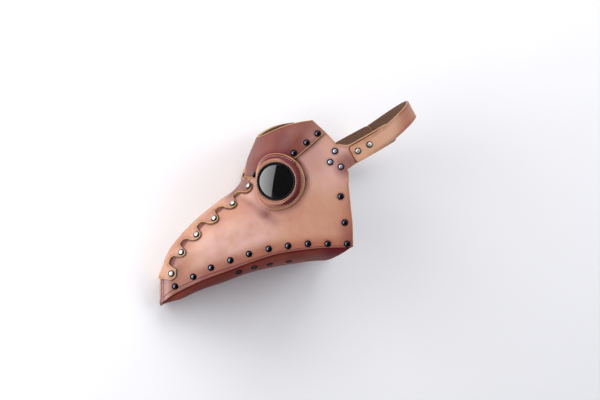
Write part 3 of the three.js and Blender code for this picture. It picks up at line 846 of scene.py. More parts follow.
def over_ridge(lengths, reaches):
    """Flat points at a length along the ridge and a reach from its middle, [row, column]."""
    knots = np.interp(lengths, ridge_lengths, ridge_knots)
    start = curve_at(PROFILE, knots)
    ahead = curve_at(PROFILE, knots + 0.05) - curve_at(PROFILE, knots - 0.05)
    ahead /= np.linalg.norm(ahead, axis=1, keepdims=True)
    inward = np.stack([ahead[:, 1], -ahead[:, 0]], 1)
    return laid_routes(start, start + inward * WIDEST_REACH, np.asarray(reaches, float))


strip_lengths = np.linspace(STRIP_START, STRIP_END, 560)
knife = np.exp(-np.linspace(-2.2, 2.2, 17)**2)
padded = np.pad(strip_reach(strip_lengths), 8, "edge")
strip_reaches = np.convolve(padded, knife / knife.sum(), "valid")
strip_edge = on_face(over_ridge(strip_lengths, strip_reaches[:, None])[:, 0])
print("scalloped edge made of", len(strip_edge), "points")

# %% [markdown]
# The cheek's own edge is rolled under the strip. Where the strip's edge swings in, that roll
# shows: along the valleys, and down the front of the tip. It gets painted shade that ends in a
# dark crease, and a painted highlight on its top. The crease is only a line to measure from,
# because colour and relief both follow the distance to it.

# %% Crease of the rolled margin
ROLLED_MARGIN = 6.6
FRONT_MARGIN = 9.2

front_knots = np.linspace(1, RIDGE_START, 40)
front_start = curve_at(PROFILE, front_knots)
front_crease = laid_routes(
    front_start, front_start + np.array([WIDEST_REACH, 0]),
    np.full((len(front_knots), 1), FRONT_MARGIN))
crease_lengths = np.linspace(12, 176, 300)
crease_reach = eased(VALLEY_REACH, crease_lengths) + ROLLED_MARGIN
valley_crease = over_ridge(crease_lengths, crease_reach[:, None])
crease_line = on_face(np.concatenate([front_crease[:, 0], valley_crease[:, 0]]))
print("crease ends at", crease_line[-1].round(1), "mm")

# %% [markdown]
# The strap and the tab below it follow one curve round the back of the mask: straight along
# the temple, then a half ellipse. A place on it is given along the strap and across it, so
# that tab, strap and rivets can all be laid on the same curve.

# %% Where the strap and its tab lie
STRAP_RISE = math.radians(29)
STRAP_ORIGIN = np.array([249.6, 203.1])
strap_along = np.array([math.cos(STRAP_RISE), math.sin(STRAP_RISE)])
strap_across = np.array([-math.sin(STRAP_RISE), math.cos(STRAP_RISE)])
LOOP_CENTRE = 5
LOOP_DEPTH = 97
LOOP_HALF_WIDTH = 77.3
TAB_HALF_WIDTH = 13.1
TAB_DROP = 0.7
TAB_END = 57
STRAP_HALF_WIDTH = 11.4
STRAP_START = -7.9
STRAP_CORNER = 3.5
STRAP_DROP = 2
TEMPLE_TO_LOOP = (-22, 12)


def wrap_point(along, across):
    """A point of the band round the back, from the temple's surface to the free loop."""
    flat = STRAP_ORIGIN + along[..., None] * strap_along + across[..., None] * strap_across
    part = np.clip((along - LOOP_CENTRE) / LOOP_DEPTH, -1, 1)
    loop = LOOP_HALF_WIDTH * np.sqrt(1 - part**2)
    height = mix(half_width(flat[..., 0]), loop, ease(*TEMPLE_TO_LOOP, along))
    return np.concatenate([flat, height[..., None]], -1)


def rounded_end(half, corner, to_end):
    """Half a band's width near its end, which has round corners."""
    into = np.clip(corner - to_end, 0, corner)
    return half - corner + np.sqrt(np.maximum(0, corner**2 - into**2))


print("strap rises", round(math.degrees(STRAP_RISE)), "degrees,", 2 * STRAP_HALF_WIDTH, "mm wide")

# %% [markdown]
# Rivets hold every seam. Their places come before the panels, because each one dents the
# leather and painted shade darkens the leather round it. The places are x and y on the worn
# mask, but those on the strap are lengths along it.

# %% Rivet places
LOWER_RIVETS = [
    (15.3, 24.0), (38.5, 36.8), (60.9, 48.8), (85.5, 58.5), (109.4, 66.9), (134.6, 73.5),
    (159.5, 77.4), (185.1, 80.3), (210.7, 80.3), (236.0, 80.3),
]
BROW_RIVETS = [(167.1, 200.3), (183.4, 214), (197.7, 226)]
TAB_RIVETS = [(220.1, 202.8), (214, 188.3), (228, 182.2)]
STRAP_RIVETS = [0, 17]
REAR_RIVETS = [(227.5, 142.9), (233.0, 108.3)]
BRIDGE_RIVET = (121.4, 171.3)
RIVETS_ON_CHEEK = LOWER_RIVETS + TAB_RIVETS + REAR_RIVETS
print("rivets on each cheek:", len(RIVETS_ON_CHEEK))

# %% [markdown]
# Each cheek panel is cut in one piece with its strap tab. Columns run from the ridge to the
# lower edge, then from under the forehead panel to the rear edge. The columns between the two
# notches carry on into the tab, so the leather has no joint there.

# %% Patterns of the cheek and its tab
CHEEK_ROWS = 74
TAB_ROOT = (4, 5)
TAB_CORNER = 6
TAB_FLARE = 17
TAB_JOIN = 12


def cheek_points():
    beak_knots = np.concatenate([np.linspace(0, 0.3, 7)[:-1], np.linspace(0.3, JAW_KNOT, 190)])
    start = curve_at(PROFILE, RIDGE_START + beak_knots)
    end = curve_at(LOWER_EDGE, beak_knots)
    shares = np.linspace(0, 1, CHEEK_ROWS)**1.15
    beak = laid_routes(start, end, shares)
    back_knots = np.linspace(0, len(HIDDEN_MARGIN) - 1, 151)[1:]
    start = curve_at(HIDDEN_MARGIN, back_knots)
    end = curve_at(REAR_EDGE, back_knots)
    back = laid_routes(start, end, shares)
    return on_face(np.concatenate([beak, back])), back_knots


def tab_points(back_knots):
    chosen = back_knots[(back_knots >= TAB_ROOT[0] - 1e-6) & (back_knots <= TAB_ROOT[1] + 1e-6)]
    root = curve_at(REAR_EDGE, chosen)
    root_points = on_face(root)
    root = root - STRAP_ORIGIN
    along_root = root @ strap_along
    across_root = root @ strap_across
    wide = np.linspace(-1, 1, len(chosen))
    steps = np.linspace(0, 1, 60)
    points = np.empty((len(chosen), len(steps), 3))
    for column, step in enumerate(steps):
        along = mix(along_root, TAB_END, step)
        half = rounded_end(TAB_HALF_WIDTH, TAB_CORNER, TAB_END - along)
        spread = 1 - (1 - ease(0, TAB_FLARE, along - along_root))**1.5
        points[:, column] = wrap_point(along, mix(across_root, wide * half - TAB_DROP, spread))
    join = root_points - points[:, 0]
    reach = steps[None, :] * (TAB_END - along_root)[:, None]
    points += join[:, None] * (1 - ease(0, TAB_JOIN, reach))[..., None]
    return points


cheek_grid, back_knots = cheek_points()
tab_grid = tab_points(back_knots)
print("cheek pattern", cheek_grid.shape[:2], "and tab pattern", tab_grid.shape[:2])

# %% [markdown]
# Colour on a cheek depends on how far a point is from the edges, the crease and the strap's end.
# These distances are measured once for all points of the mesh, so that the shader only has to
# read them.

# %% Distances on a cheek
CREASE_SEEN = 9


def lower_edge_height(x):
    line = curve_at(LOWER_EDGE, np.linspace(0, JAW_KNOT, 300))
    return np.interp(x, line[:, 0], line[:, 1])


def past_line(points, line):
    """Signed distance from a line on the face: negative on the ridge's side of it."""
    depth = near_profile(points[:, 0], points[:, 1])[0]
    line_depth = near_profile(line[:, 0], line[:, 1])[0]
    best, distance = nearest(points, line)
    return np.where(depth < line_depth[best], -1, 1) * distance


def crease_at(points):
    """Distance from the crease of the rolled margin, as far as its colours reach."""
    return np.clip(past_line(points, crease_line), -CREASE_SEEN, CREASE_SEEN)


def strap_gap(points):
    """Distance from the edge of the strap where it lies on the tab."""
    flat = points[:, :2] - STRAP_ORIGIN
    before = np.maximum(STRAP_START + STRAP_CORNER - flat @ strap_along, 0)
    across = np.abs(flat @ strap_across + STRAP_DROP)
    outside = np.maximum(across - STRAP_HALF_WIDTH + STRAP_CORNER, 0)
    return np.abs(np.hypot(before, outside) - STRAP_CORNER)


def spot(points, place, reach, core, squash=(1, 1)):
    """1 within the core's radius of a place and 0 beyond the reach."""
    away = (points[:, :2] - place) * squash
    return ease(reach, core, np.hypot(away[:, 0], away[:, 1]))


jaw_height = float(lower_edge_height(REAR_EDGE[0][0]))
print("lower edge at the jaw corner", round(jaw_height, 1), "mm up")

# %% [markdown]
# The maker rubs dark antique stain round the eye, into the lower margin and the tip, and
# burnishes the rest. Shade is painted in as well: round the eye's ring, beside the strip, round
# the strap's end, below the brow seam, at the tab's neck and round the rivets. Each of those
# places is one term below, from 0 to 1, and the strongest wins. The lilac haze is a painted
# sheen and the warm patches between are a redder tone: they are painted as wide, soft spots.

# %% Stain, painted shade and painted sheen on the cheeks
STREAK_FROM = (102, 141)
STREAK_WAY = (0.79, -0.61)
STREAK = [(-14, 0), (4, 0.25), (20, 0.32), (36, 0.62), (48, 0.28), (64, 0)]
NECK = (236, 184)
UPPER_TEMPLE = (182, 194)
REAR_TEMPLE = (205, 188)
NOSE = (118, 150)
JAW_CORNER = (244, 84)


def cheek_streak(points):
    """A long darker streak that runs from the nose to below the eye."""
    away = points[:, :2] - STREAK_FROM
    along = away[:, 0] * STREAK_WAY[0] + away[:, 1] * STREAK_WAY[1]
    beside = away[:, 1] * STREAK_WAY[0] - away[:, 0] * STREAK_WAY[1]
    width = mix(7, 12, ease(10, 34, along))
    return ease(width, 0, np.abs(beside)) * eased(STREAK, along)


def cheek_stain_and_shade(points):
    x, y = points[:, 0], points[:, 1]
    over_low = y - lower_edge_height(x)
    rivets = np.min([np.hypot(x - place[0], y - place[1]) for place in RIVETS_ON_CHEEK], 0)
    # Painted shadow of the strip's edge on the cheek, outside the rolled margin.
    strip_shadow = ease(3.2, 0.2, distance_to(points, strip_edge)) * ease(-1, 1, crease_at(points))
    # Painted shade: the eye term in part, where the ring stands on the cheek, and the terms beside the
    # strip, round the strap's end, below the brow seam, at the neck of the tab and round the rivets.
    terms = {
        "eye": ease(11, 0, in_eye(points)) * (0.34 + 0.4 * ease(312, 354, x + y)),
        "streak": cheek_streak(points),
        "shadow beside the strip": strip_shadow * 0.75,
        "shadow round the strap": ease(2.4, 0.8, strap_gap(points)) * 0.95,
        "brow seam": ease(-14, 0, above_seam(points)) * ease(150, 185, x) * ease(215, 190, x) * 0.5,
        "neck of the tab": spot(points, NECK, 24, 6) * 0.62,
        "temple": spot(points, UPPER_TEMPLE, 44, 8) * 0.22,
        "lower margin": ease(13, 1, over_low) * ease(260, 60, x) * 0.5,
        "lower beak": ease(30, 10, over_low) * ease(170, 110, x) * 0.3,
        "jaw": spot(points, JAW_CORNER, 26, 2, (1, 0.6)) * 0.5,
        "tip": ease(46, 6, x) * 0.42,
        "shade round the rivets": ease(7.4, 4.6, rivets) * 0.32,
    }
    return np.clip(np.maximum.reduce(list(terms.values())), 0, 1)


def cheek_sheen_and_warmth(points):
    """Lilac painted sheen above 0: lower beak, temple, nose and front. Warm below 0: margins and tip."""
    x, y = points[:, 0], points[:, 1]
    over_low = y - lower_edge_height(x)
    lilac = np.maximum.reduce([
        ease(12, 26, over_low) * ease(72, 40, over_low) * ease(20, 60, x) * ease(165, 120, x),
        spot(points, REAR_TEMPLE, 62, 16, (0.9, 1)) * 0.9,
        spot(points, NOSE, 22, 4) * 0.6,
        ease(11, 8, x) * 1.5,
    ])
    warm = np.maximum.reduce([
        ease(22, 5, over_low) * ease(30, 60, x),
        ease(27, 5, REAR_EDGE[0][0] - x) * ease(150, 120, y) * 0.6,
        ease(60, 12, x) * 0.55,
    ])
    return np.clip(lilac - warm, -1, 1)


print("stain at the neck of the tab", cheek_stain_and_shade(on_face(np.array([NECK]))).round(2))

# %% [markdown]
# A cheek is its grid with the tab's grid welded on, faced outwards, with the eye hole cut. Its
# shown edges are found among the mesh's boundary, without the ones that other leather covers.
# A tooled line runs along the lower margin, further in near the tip.

# %% Cheek panels
TOOLED_INSET = [(10, 5), (60, 4), (110, 2.2), (244, 1.6)]
OFF_MIDDLE = 1.5
FRONT_TOP = 36
JAW_TOP = 90
REAR_FROM = 243.3


def weld_tab(mesh, turn):
    """Adds the tab's grid and merges the column of points that it shares with the cheek."""
    tab = grid_piece(tab_grid * turn)
    data = bpy.data.meshes.new("tab")
    tab.to_mesh(data)
    tab.free()
    mesh.from_mesh(data)
    bpy.data.meshes.remove(data)
    bmesh.ops.remove_doubles(mesh, verts=mesh.verts, dist=2e-5)


def make_cheek(side, turn):
    name = "side_panel_" + side
    mesh = grid_piece(cheek_grid * turn)
    weld_tab(mesh, turn)
    face_out(mesh, (0, 0, turn[2]))
    cut_eye_hole(mesh, turn, 0)
    own = own_place(mesh) * turn
    rim = rim_points(mesh, own)
    aside = rim[:, 2] > OFF_MIDDLE
    shown = rim[aside & (in_eye(rim) > 1)]
    front = rim[~aside & (rim[:, 1] < FRONT_TOP)]
    low_line = rim[aside & (rim[:, 1] < JAW_TOP) & (rim[:, 0] < REAR_FROM)]
    piece = finish_piece(name, mesh, (cheek_leather, *edge_and_inside), name)
    edge = distance_to(own, np.concatenate([shown, front]))
    over_low = own[:, 1] - lower_edge_height(own[:, 0])
    gilt = np.where(own[:, 0] > REAR_FROM, 1, ease(1.5, 5, over_low))
    paint(piece, edge, cheek_stain_and_shade(own), cheek_sheen_and_warmth(own), gilt)
    write_attribute(piece, "line", distance_to(own, low_line) - eased(TOOLED_INSET, own[:, 0]))
    write_attribute(piece, "crease", crease_at(own))
    thicken(piece, LEATHER)
    print(name, "has", len(piece.data.vertices), "points")


for side, turn in SIDES:
    make_cheek(side, turn)

# %% [markdown]
# The forehead panel and the ridge strip lie on top of the cheeks and reach over the middle to
# both sides, so each is one grid with its middle line in the mask's middle plane. The forehead
# panel is dyed darker, has painted shade and stain round the goggle rings, is darker towards its
# top edge, and has a painted sheen towards the rear.

# %% Forehead panel


def over_both_sides(half_grid, height):
    """A grid of flat points [row, column from the middle], raised over the face, both sides."""
    points = on_face(half_grid)
    points[:, 0, 2] = 0
    normals = face_normal(points)
    normals[:, 0, 2] = 0
    normals /= np.linalg.norm(normals, axis=2, keepdims=True)
    points = points + normals * height
    other = points[:, :0:-1] * MIRROR
    return np.concatenate([other, points], 1)


def both_eyes(points):
    """Distance from the nearer ring's outline: negative inside."""
    return in_eye(np.column_stack([points[:, :2], np.abs(points[:, 2])]))


def make_forehead():
    half = np.stack([brow_row(height, 130) for height in np.linspace(0, 1, 60)])
    mesh = grid_piece(over_both_sides(half, TOP_LAYER))
    face_out(mesh, (-1, 0.3, 0))
    for _, turn in SIDES:
        cut_eye_hole(mesh, turn, TOP_LAYER)
    own = own_place(mesh)
    rim = rim_points(mesh, own)
    shown = rim[both_eyes(rim) > 1]
    materials = (brow_leather, *edge_and_inside)
    piece = finish_piece("forehead_panel", mesh, materials, "forehead_panel")
    # Painted shade and stain round the goggle rings, darker towards the top edge; the haze field gives a
    # painted sheen towards the rear.
    darkening = np.maximum(ease(10, 0, both_eyes(own)) * 0.75, ease(226, 246, own[:, 1]) * 0.3)
    paint(piece, distance_to(own, shown), darkening, ease(170, 205, own[:, 0]) * 0.6)
    thicken(piece, LEATHER)
    print("forehead panel has", len(piece.data.vertices), "points")


make_forehead()

# %% [markdown]
# The ridge strip's grid follows the scalloped edge: every column runs from the middle to that
# edge, so the cut stays clean. The strip is a little thinner, and darker, with a painted sheen,
# where it meets the forehead panel.

# %% Ridge strip
STRIP_THICKNESS = LEATHER - 0.2


def make_strip():
    shares = strip_reaches[:, None] * np.linspace(0, 1, 26)[None]
    half = over_ridge(strip_lengths, shares)
    mesh = grid_piece(over_both_sides(half, TOP_LAYER))
    face_out(mesh, (-0.8, 0.6, 0))
    own = own_place(mesh)
    rim = rim_points(mesh, own)
    materials = (tan_leather, *edge_and_inside)
    piece = finish_piece("ridge_strip", mesh, materials, "ridge_strip")
    # Darker, with a painted sheen from the haze field, where the forehead panel lies on the strip.
    high = ease(150, 178, own[:, 0] + own[:, 1] * 0.55)
    paint(piece, distance_to(own, rim), high * 0.62, high * 0.5)
    thicken(piece, STRIP_THICKNESS)
    print("ridge strip has", len(piece.data.vertices), "points")


make_strip()

# %% [markdown]
# The bottom panel closes the beak below. Its flanges turn up inside the cheeks, where the lower
# rivets catch them, and the sole between them bows down. It has two rows of small vents.

# %% Bottom panel
FLANGE_HEIGHT = 12
KEEL_DROPS = [(0, 6.5), (30, 13), (105, 15), (150, 18), (244, 17)]
THROAT_CUT = 22
TOE_REACH = 5
INNER_LAYER = -LEATHER - LAYER_GAP
FLANGE_SHARE = 0.32
SOLE_SHARE = 1 - FLANGE_SHARE


def sole_face(knot, across):
    """A point of the sole: a knot of the lower edge, and -1 to 1 from flange to flange."""
    side = np.minimum(1, np.abs(across))
    edge = curve_at(LOWER_EDGE, knot)
    ridge = curve_at(PROFILE, np.minimum(RIDGE_START + knot, BRIDGE))
    up = (ridge - edge) / np.linalg.norm(ridge - edge, axis=-1, keepdims=True)
    rise = np.maximum(0, (side - SOLE_SHARE) / FLANGE_SHARE) * FLANGE_HEIGHT
    points = on_face(edge + up * rise[..., None])
    points = points + face_normal(points) * INNER_LAYER
    angle = np.pi / 2 * np.maximum(0, 1 - side / SOLE_SHARE)
    points[..., 1] -= eased(KEEL_DROPS, edge[..., 0]) * np.sin(angle)
    forward = THROAT_CUT * ease(6.6, JAW_KNOT, knot) + TOE_REACH * ease(1.4, 0.2, knot)
    points[..., 0] -= forward * np.sin(angle)
    points[..., 2] *= np.cos(angle) * np.where(across < 0, -1, 1)
    return points


def make_bottom():
    knots = np.concatenate([np.linspace(0.3, 1, 24)[:-1], np.linspace(1, 7.95, 150)])
    flange = np.linspace(SOLE_SHARE, 1, 8)
    sole = np.sin(np.linspace(0, np.pi / 2, 26)) * SOLE_SHARE
    half = np.concatenate([sole[:-1], flange])
    across = np.concatenate([-half[:0:-1], half])
    mesh = grid_piece(sole_face(*np.meshgrid(knots, across, indexing="ij")))
    face_out(mesh, (0, -1, 0))
    own = own_place(mesh)
    rim = rim_points(mesh, own)
    materials = (brown_leather, *edge_and_inside)
    piece = finish_piece("bottom_panel", mesh, materials, "bottom_panel")
    below = lower_edge_height(own[:, 0]) - own[:, 1]
    # Painted shadow just under the cheek's lower edge, and darker towards the rear.
    darkening = np.maximum(ease(5, 0, below) * 0.8, ease(185, 225, own[:, 0]))
    paint(piece, distance_to(own, rim), darkening, 0.0, 0.0)
    thicken(piece, LEATHER)
    print("bottom panel has", len(piece.data.vertices), "points")


make_bottom()

# %% [markdown]
# The head strap is one plain band. It starts on top of the tab, lifts away a little and runs
# round the back to the other tab. Half of it is laid out and mirrored, and the layer's height
# is added along its own outward direction.

# %% Head strap
STRAP_BEND = 0.0000065
STRAP_BEND_FROM = -9.5
BACK_OF_LOOP = 1


def strap_lean(along):
    """How far the strap swings up from its straight line."""
    bend = STRAP_BEND * np.maximum(0, along - STRAP_BEND_FROM)**3
    return bend - STRAP_DROP * (1 - ease(30, 85, along))


def strap_face(turn, across):
    """turn counts round the loop's ellipse, and a quarter circle is the middle of the back."""
    along = LOOP_CENTRE + LOOP_DEPTH * np.sin(turn)
    points = wrap_point(along, across + strap_lean(along))
    loop = LOOP_HALF_WIDTH * np.cos(turn)
    points[..., 2] = np.where(np.abs(turn) > BACK_OF_LOOP, loop, points[..., 2])
    return points


def grid_normals(points):
    """Unit normals of a grid of points, from its two directions."""
    along_u = np.gradient(points, axis=0)
    along_v = np.gradient(points, axis=1)
    normal = np.cross(along_u, along_v)
    return normal / np.linalg.norm(normal, axis=2, keepdims=True)


def make_strap():
    start = math.asin((STRAP_START - LOOP_CENTRE) / LOOP_DEPTH)
    turns = np.concatenate([
        np.linspace(start, start + 0.06, 12)[:-1], np.linspace(start + 0.06, math.pi / 2, 150)])
    along = LOOP_CENTRE + LOOP_DEPTH * np.sin(turns)
    half = rounded_end(STRAP_HALF_WIDTH, STRAP_CORNER, along - STRAP_START)
    wide = np.linspace(-1, 1, 19)
    left = strap_face(turns[:, None] + 0 * wide, half[:, None] * wide)
    right = left[-2::-1] * MIRROR
    points = np.concatenate([left, right])
    normals = grid_normals(points)
    if ((points - points.mean((0, 1))) * normals).sum() < 0:
        normals = -normals
    mesh = grid_piece(points + normals * TOP_LAYER)
    face_out(mesh, (1, 0, 0))
    own = own_place(mesh)
    rim = rim_points(mesh, own)
    materials = (strap_leather, *edge_and_inside)
    piece = finish_piece("head_strap", mesh, materials, "head_strap")
    paint(piece, distance_to(own, rim), 0.0, -0.85 * ease(296, 322, own[:, 0]), 0.5)
    thicken(piece, LEATHER)
    print("head strap has", len(piece.data.vertices), "points")


make_strap()

# %% [markdown]
# A goggle ring is a padded leather band: sewn down round the lens, bulging, then sewn to the
# panels along its outer margin, with a lining that goes through the eye hole. Towards the
# bridge it is short and drops steeply. Its section is given as parts of the way out. The outer
# part keeps to the panels, the inner part to the lens, and a blend joins them.

# %% Section of a goggle ring
RING_SECTION = [
    # part of the way out, height over the panels, height over the lens level, share of the latter
    (0.00, -2.2, -11.0, 0), (0.00, 3.0, -5.0, 0.5), (0.00, 3.0, -1.6, 1), (0.02, 3.0, -0.7, 1),
    (0.06, 3.0, -0.25, 1), (0.11, 3.0, -0.2, 1), (0.155, 3.0, -0.55, 1), (0.19, 3.0, -1.15, 1),
    (0.225, 3.0, -0.75, 1), (0.27, 3.0, -0.15, 1), (0.33, 3.0, 0.1, 1), (0.40, 3.4, -0.2, 1),
    (0.47, 4.6, -0.9, 0.9), (0.54, 5.2, -2.2, 0.66), (0.61, 4.6, -4.0, 0.36), (0.67, 3.3, -6.0, 0.12),
    (0.71, 2.3, -7.0, 0), (0.735, 2.0, -7.0, 0), (0.77, 2.4, -7.0, 0), (0.83, 2.7, -7.0, 0),
    (0.92, 2.6, -7.0, 0), (0.97, 2.4, -7.0, 0), (0.993, 2.0, -7.0, 0), (1.00, 1.4, -7.0, 0),
    (1.00, 0.3, -7.0, 0), (0.90, 0.1, -7.0, 0), (0.50, 0.3, -7.0, 0),
    (0.14, 0.2, -7.0, 0), (0.07, -2.2, -11.0, 0),
]
RING_STEPS = 168
DEEPEST = -60.0
HIGHEST = 20.0


def bed_height(points):
    """Height of the leather below the ring: it climbs on to the forehead panel at the seam."""
    return mix(0, TOP_LAYER, ease(-7, -0.5, above_seam(points))) + LAYER_GAP


def on_bed(back, up, height):
    """Points at a place in the eye's frame, over the panels or, below 0, under the bare face."""
    aim_back, aim_up = back.copy(), up.copy()
    for _ in range(4):
        near = np.full(back.shape, DEEPEST)
        far = np.full(back.shape, HIGHEST)
        for _ in range(18):
            level = (near + far) / 2
            points = (
                eye_on_face + aim_back[..., None] * eye_back + aim_up[..., None] * eye_up
                + level[..., None] * eye_axis)
            over = points[..., 2] > face_height(points[..., 0], points[..., 1])
            far = np.where(over, level, far)
            near = np.where(over, near, level)
        bed = np.where(height < 0, 0, bed_height(points))
        raised = points + face_normal(points) * (bed + height)[..., None]
        away = raised - eye_on_face
        aim_back = aim_back + RELAXED * (back - away @ eye_back)
        aim_up = aim_up + RELAXED * (up - away @ eye_up)
    return raised


def ring_points(angles, section):
    """The section laid at each angle round the eye: points [angle, place on the section]."""
    section = np.array(section)
    radius = mix(EYE_HOLE_RADIUS, ring_outline(angles)[:, None], section[None, :, 0])
    back = radius * np.cos(angles)[:, None]
    up = radius * np.sin(angles)[:, None]
    low_points = on_bed(back, up, np.broadcast_to(section[:, 1], radius.shape))
    high_points = (
        eye_on_face + back[..., None] * eye_back + up[..., None] * eye_up
        + (LENS_LEVEL + section[:, 2])[None, :, None] * eye_axis)
    return mix(low_points, high_points, section[:, 3][None, :, None])


ring_angles = np.linspace(0, 2 * math.pi, RING_STEPS, endpoint=False)
ring_grid = ring_points(ring_angles, RING_SECTION + RING_SECTION[:1])
for _ in range(3):
    ring_grid = (np.roll(ring_grid, 1, 0) + 2 * ring_grid + np.roll(ring_grid, -1, 0)) / 4
ring_grid = np.concatenate([ring_grid, ring_grid[:1]])
print("ring made of", len(ring_grid) - 1, "sections of", len(RING_SECTION), "points")

# %% [markdown]
# Painted shade darkens the ring's flank where it bends, strongest over the top and behind, and
# nearly none towards the beak. Its two sewn grooves are darker too. So the shaded band is given by
# the angle round the eye: how strong it is, and the parts of the way out where it starts and ends.

# %% Goggle rings
# How strong the ring's painted shade is by the angle round the eye, then where it starts and ends.
RING_SHADE = [
    (0, 0.95), (90, 1), (125, 0.85), (155, 0.15), (250, 0.1), (275, 0.4), (300, 0.95), (360, 0.95),
]
SHADE_FROM = [(0, 0.1), (60, 0.2), (90, 0.36), (270, 0.35), (320, 0.2), (360, 0.1)]
SHADE_TO = [(0, 0.62), (60, 0.85), (90, 1), (140, 0.92), (270, 0.64), (320, 0.7), (360, 0.62)]
INNER_GROOVE = 0.115
OUTER_GROOVE = 0.73


def ring_shade_and_grooves(part, round_at):
    begin, end = eased(SHADE_FROM, round_at), eased(SHADE_TO, round_at)
    flank = ease(begin - 0.05, begin + 0.15, part) * ease(end + 0.05, end - 0.05, part)
    grooves = (
        ease(0.08, 0.03, np.abs(part - OUTER_GROOVE)) * 0.6
        + ease(0.06, 0.02, np.abs(part - INNER_GROOVE)) * 0.6)
    return np.clip(np.maximum(flank * eased(RING_SHADE, round_at), grooves), 0, 1)


def make_ring(side, turn):
    name = "goggle_ring_" + side
    mesh = grid_piece(ring_grid * turn, closed_u=True)
    bmesh.ops.recalc_face_normals(mesh, faces=mesh.faces)
    away = own_place(mesh) * turn - eye_on_face
    back, up = away @ eye_back, away @ eye_up
    width = ring_outline(np.arctan2(up, back)) - EYE_HOLE_RADIUS
    part = (np.hypot(back, up) - EYE_HOLE_RADIUS) / width
    piece = finish_piece(name, mesh, (ring_leather,), name)
    # Painted shade on the ring's flank, and the darker sewn grooves.
    darkening = ring_shade_and_grooves(part, np.degrees(np.arctan2(up, back)) % 360)
    paint(piece, np.maximum((1 - part) * width, 0.0), darkening, 0.0)
    print(name, "has", len(piece.data.vertices), "points")


for side, turn in SIDES:
    make_ring(side, turn)

# %% [markdown]
# Both rows of stitches are saddle sewn with waxed thread. A stitch is a short bead that lies in
# the sewn groove, turned along it, and between each two a small dark bead is painted shade
# that stands for the awl hole.

# %% Stitches
# Part of the way out, height over the panels, over the lens level, share of the latter, count.
STITCH_ROWS = [(INNER_GROOVE, 0.0, 0.1, 1, 60), (OUTER_GROOVE, 2.25, 0, 0, 66)]
# Offset in stitches, half sizes in metres, and the material: thread beads, then dark beads of
# painted shade for the awl holes.
STITCH_SHAPES = [(0, (0.00105, 0.00062, 0.0006), 0), (0.5, (0.0006, 0.0007, 0.00035), 1)]
GROOVE_STEP = 0.02
AHEAD = 0.004


def plain(name, colour, roughness, specular=0.5):
    """One colour with a faint speckle."""
    material, tree, shader, where = new_material(name)
    speckle = noise(tree, where, 300, 2.0)
    darker = tuple(c * 0.85 for c in colour[:3]) + (1,)
    tree.links.new(socket_mix(tree, "colour", speckle, darker, colour), shader.inputs["Base Color"])
    shader.inputs["Roughness"].default_value = roughness
    shader.inputs["Specular IOR Level"].default_value = specular
    return material


thread = plain("thread", (0.66, 0.38, 0.30, 1), 0.42)
# Painted shade: the awl holes are dark beads, not holes.
awl_hole_shade = plain("awl_hole_shade", (0.03, 0.004, 0.006, 1), 0.7, specular=0.1)


def add_bead(mesh, place, along, beside, shape, material_index):
    """A stretched ball that lies along one direction and beside another."""
    out = along.cross(beside).normalized()
    beside = out.cross(along)
    turned = Matrix((along, beside, out)).transposed().to_4x4()
    made = bmesh.ops.create_uvsphere(
        mesh, u_segments=8, v_segments=5, radius=1,
        matrix=Matrix.Translation(place) @ turned @ Matrix.Diagonal(shape + (1,)))
    for face in {face for vertex in made["verts"] for face in vertex.link_faces}:
        face.material_index = material_index


def make_stitches(side, turn):
    mesh = bmesh.new()
    for part, over_bed, over_lens, share, count in STITCH_ROWS:
        for offset, shape, index in STITCH_SHAPES:
            angles = (np.arange(count) + offset) * 2 * math.pi / count
            heights = (over_bed, over_lens, share)
            section = [(part, *heights), (part + GROOVE_STEP, *heights)]
            places = ring_points(angles, section)
            ahead = ring_points(angles + AHEAD, section[:1])[:, 0]
            for place, forward in zip(places, ahead):
                along = row_direction((forward - place[0]) * turn)
                beside = row_direction((place[1] - place[0]) * turn)
                add_bead(mesh, to_row(place[0] * turn), along, beside, shape, index)
    bmesh.ops.recalc_face_normals(mesh, faces=mesh.faces)
    piece = finish_piece("stitches_" + side, mesh, (thread, awl_hole_shade))
    print(piece.name, "has", len(piece.data.polygons), "faces")


for side, turn in SIDES:
    make_stitches(side, turn)

# %% [markdown]
# Rims, lenses, rivets and vents are all turned on a lathe, so each is a profile of radius and
# height that is spun once round. The spin is made upright at the origin, and the finished mesh
# is then turned and moved to its place.

# %% Turned shapes


def spun(profile, steps):
    """Spins a profile of (radius, height) in millimetres once round the upright axis."""
    mesh = bmesh.new()
    verts = [mesh.verts.new((radius / 1000, 0, height / 1000)) for radius, height in profile]
    edges = [mesh.edges.new(pair) for pair in zip(verts, verts[1:])]
    bmesh.ops.spin(
        mesh, geom=verts + edges, cent=(0, 0, 0), axis=(0, 0, 1), angle=2 * math.pi, steps=steps,
        use_merge=True, use_duplicate=False)
    bmesh.ops.remove_doubles(mesh, verts=mesh.verts, dist=2e-6)
    return mesh


def set_in_place(mesh, place, turned):
    """Turns a spun mesh to its axis and moves it to its place on the mask."""
    matrix = Matrix.Translation(to_row(place)) @ turned.to_4x4()
    bmesh.ops.transform(mesh, verts=mesh.verts, matrix=matrix)
    bmesh.ops.recalc_face_normals(mesh, faces=mesh.faces)


# %% [markdown]
# The rim and the lens are turned shapes on the eye's axis. The lens is a shallow dome: it mirrors
# one side of the studio and stays dark on the other.

# %% Rims and lenses
RIM_PROFILE = [
    (23.1, -4), (25.1, -4), (25.15, 0.0), (25.0, 0.6), (24.6, 0.95), (24.1, 1.0), (23.6, 0.75),
    (23.3, 0.2), (23.1, -0.5), (23.1, -4),
]
LENS_RADIUS = 23.2
LENS_DOME = 2.3
LENS_EDGE = -1.2
LENS_BACK = -2.6
RIM_STEPS = 96
# The same black serves the lens rims and, as painted shade, the vents' sunk discs.
rim_and_hole_shade = plain("black_rim", (0.004, 0.004, 0.005, 1), 0.4, specular=0.15)


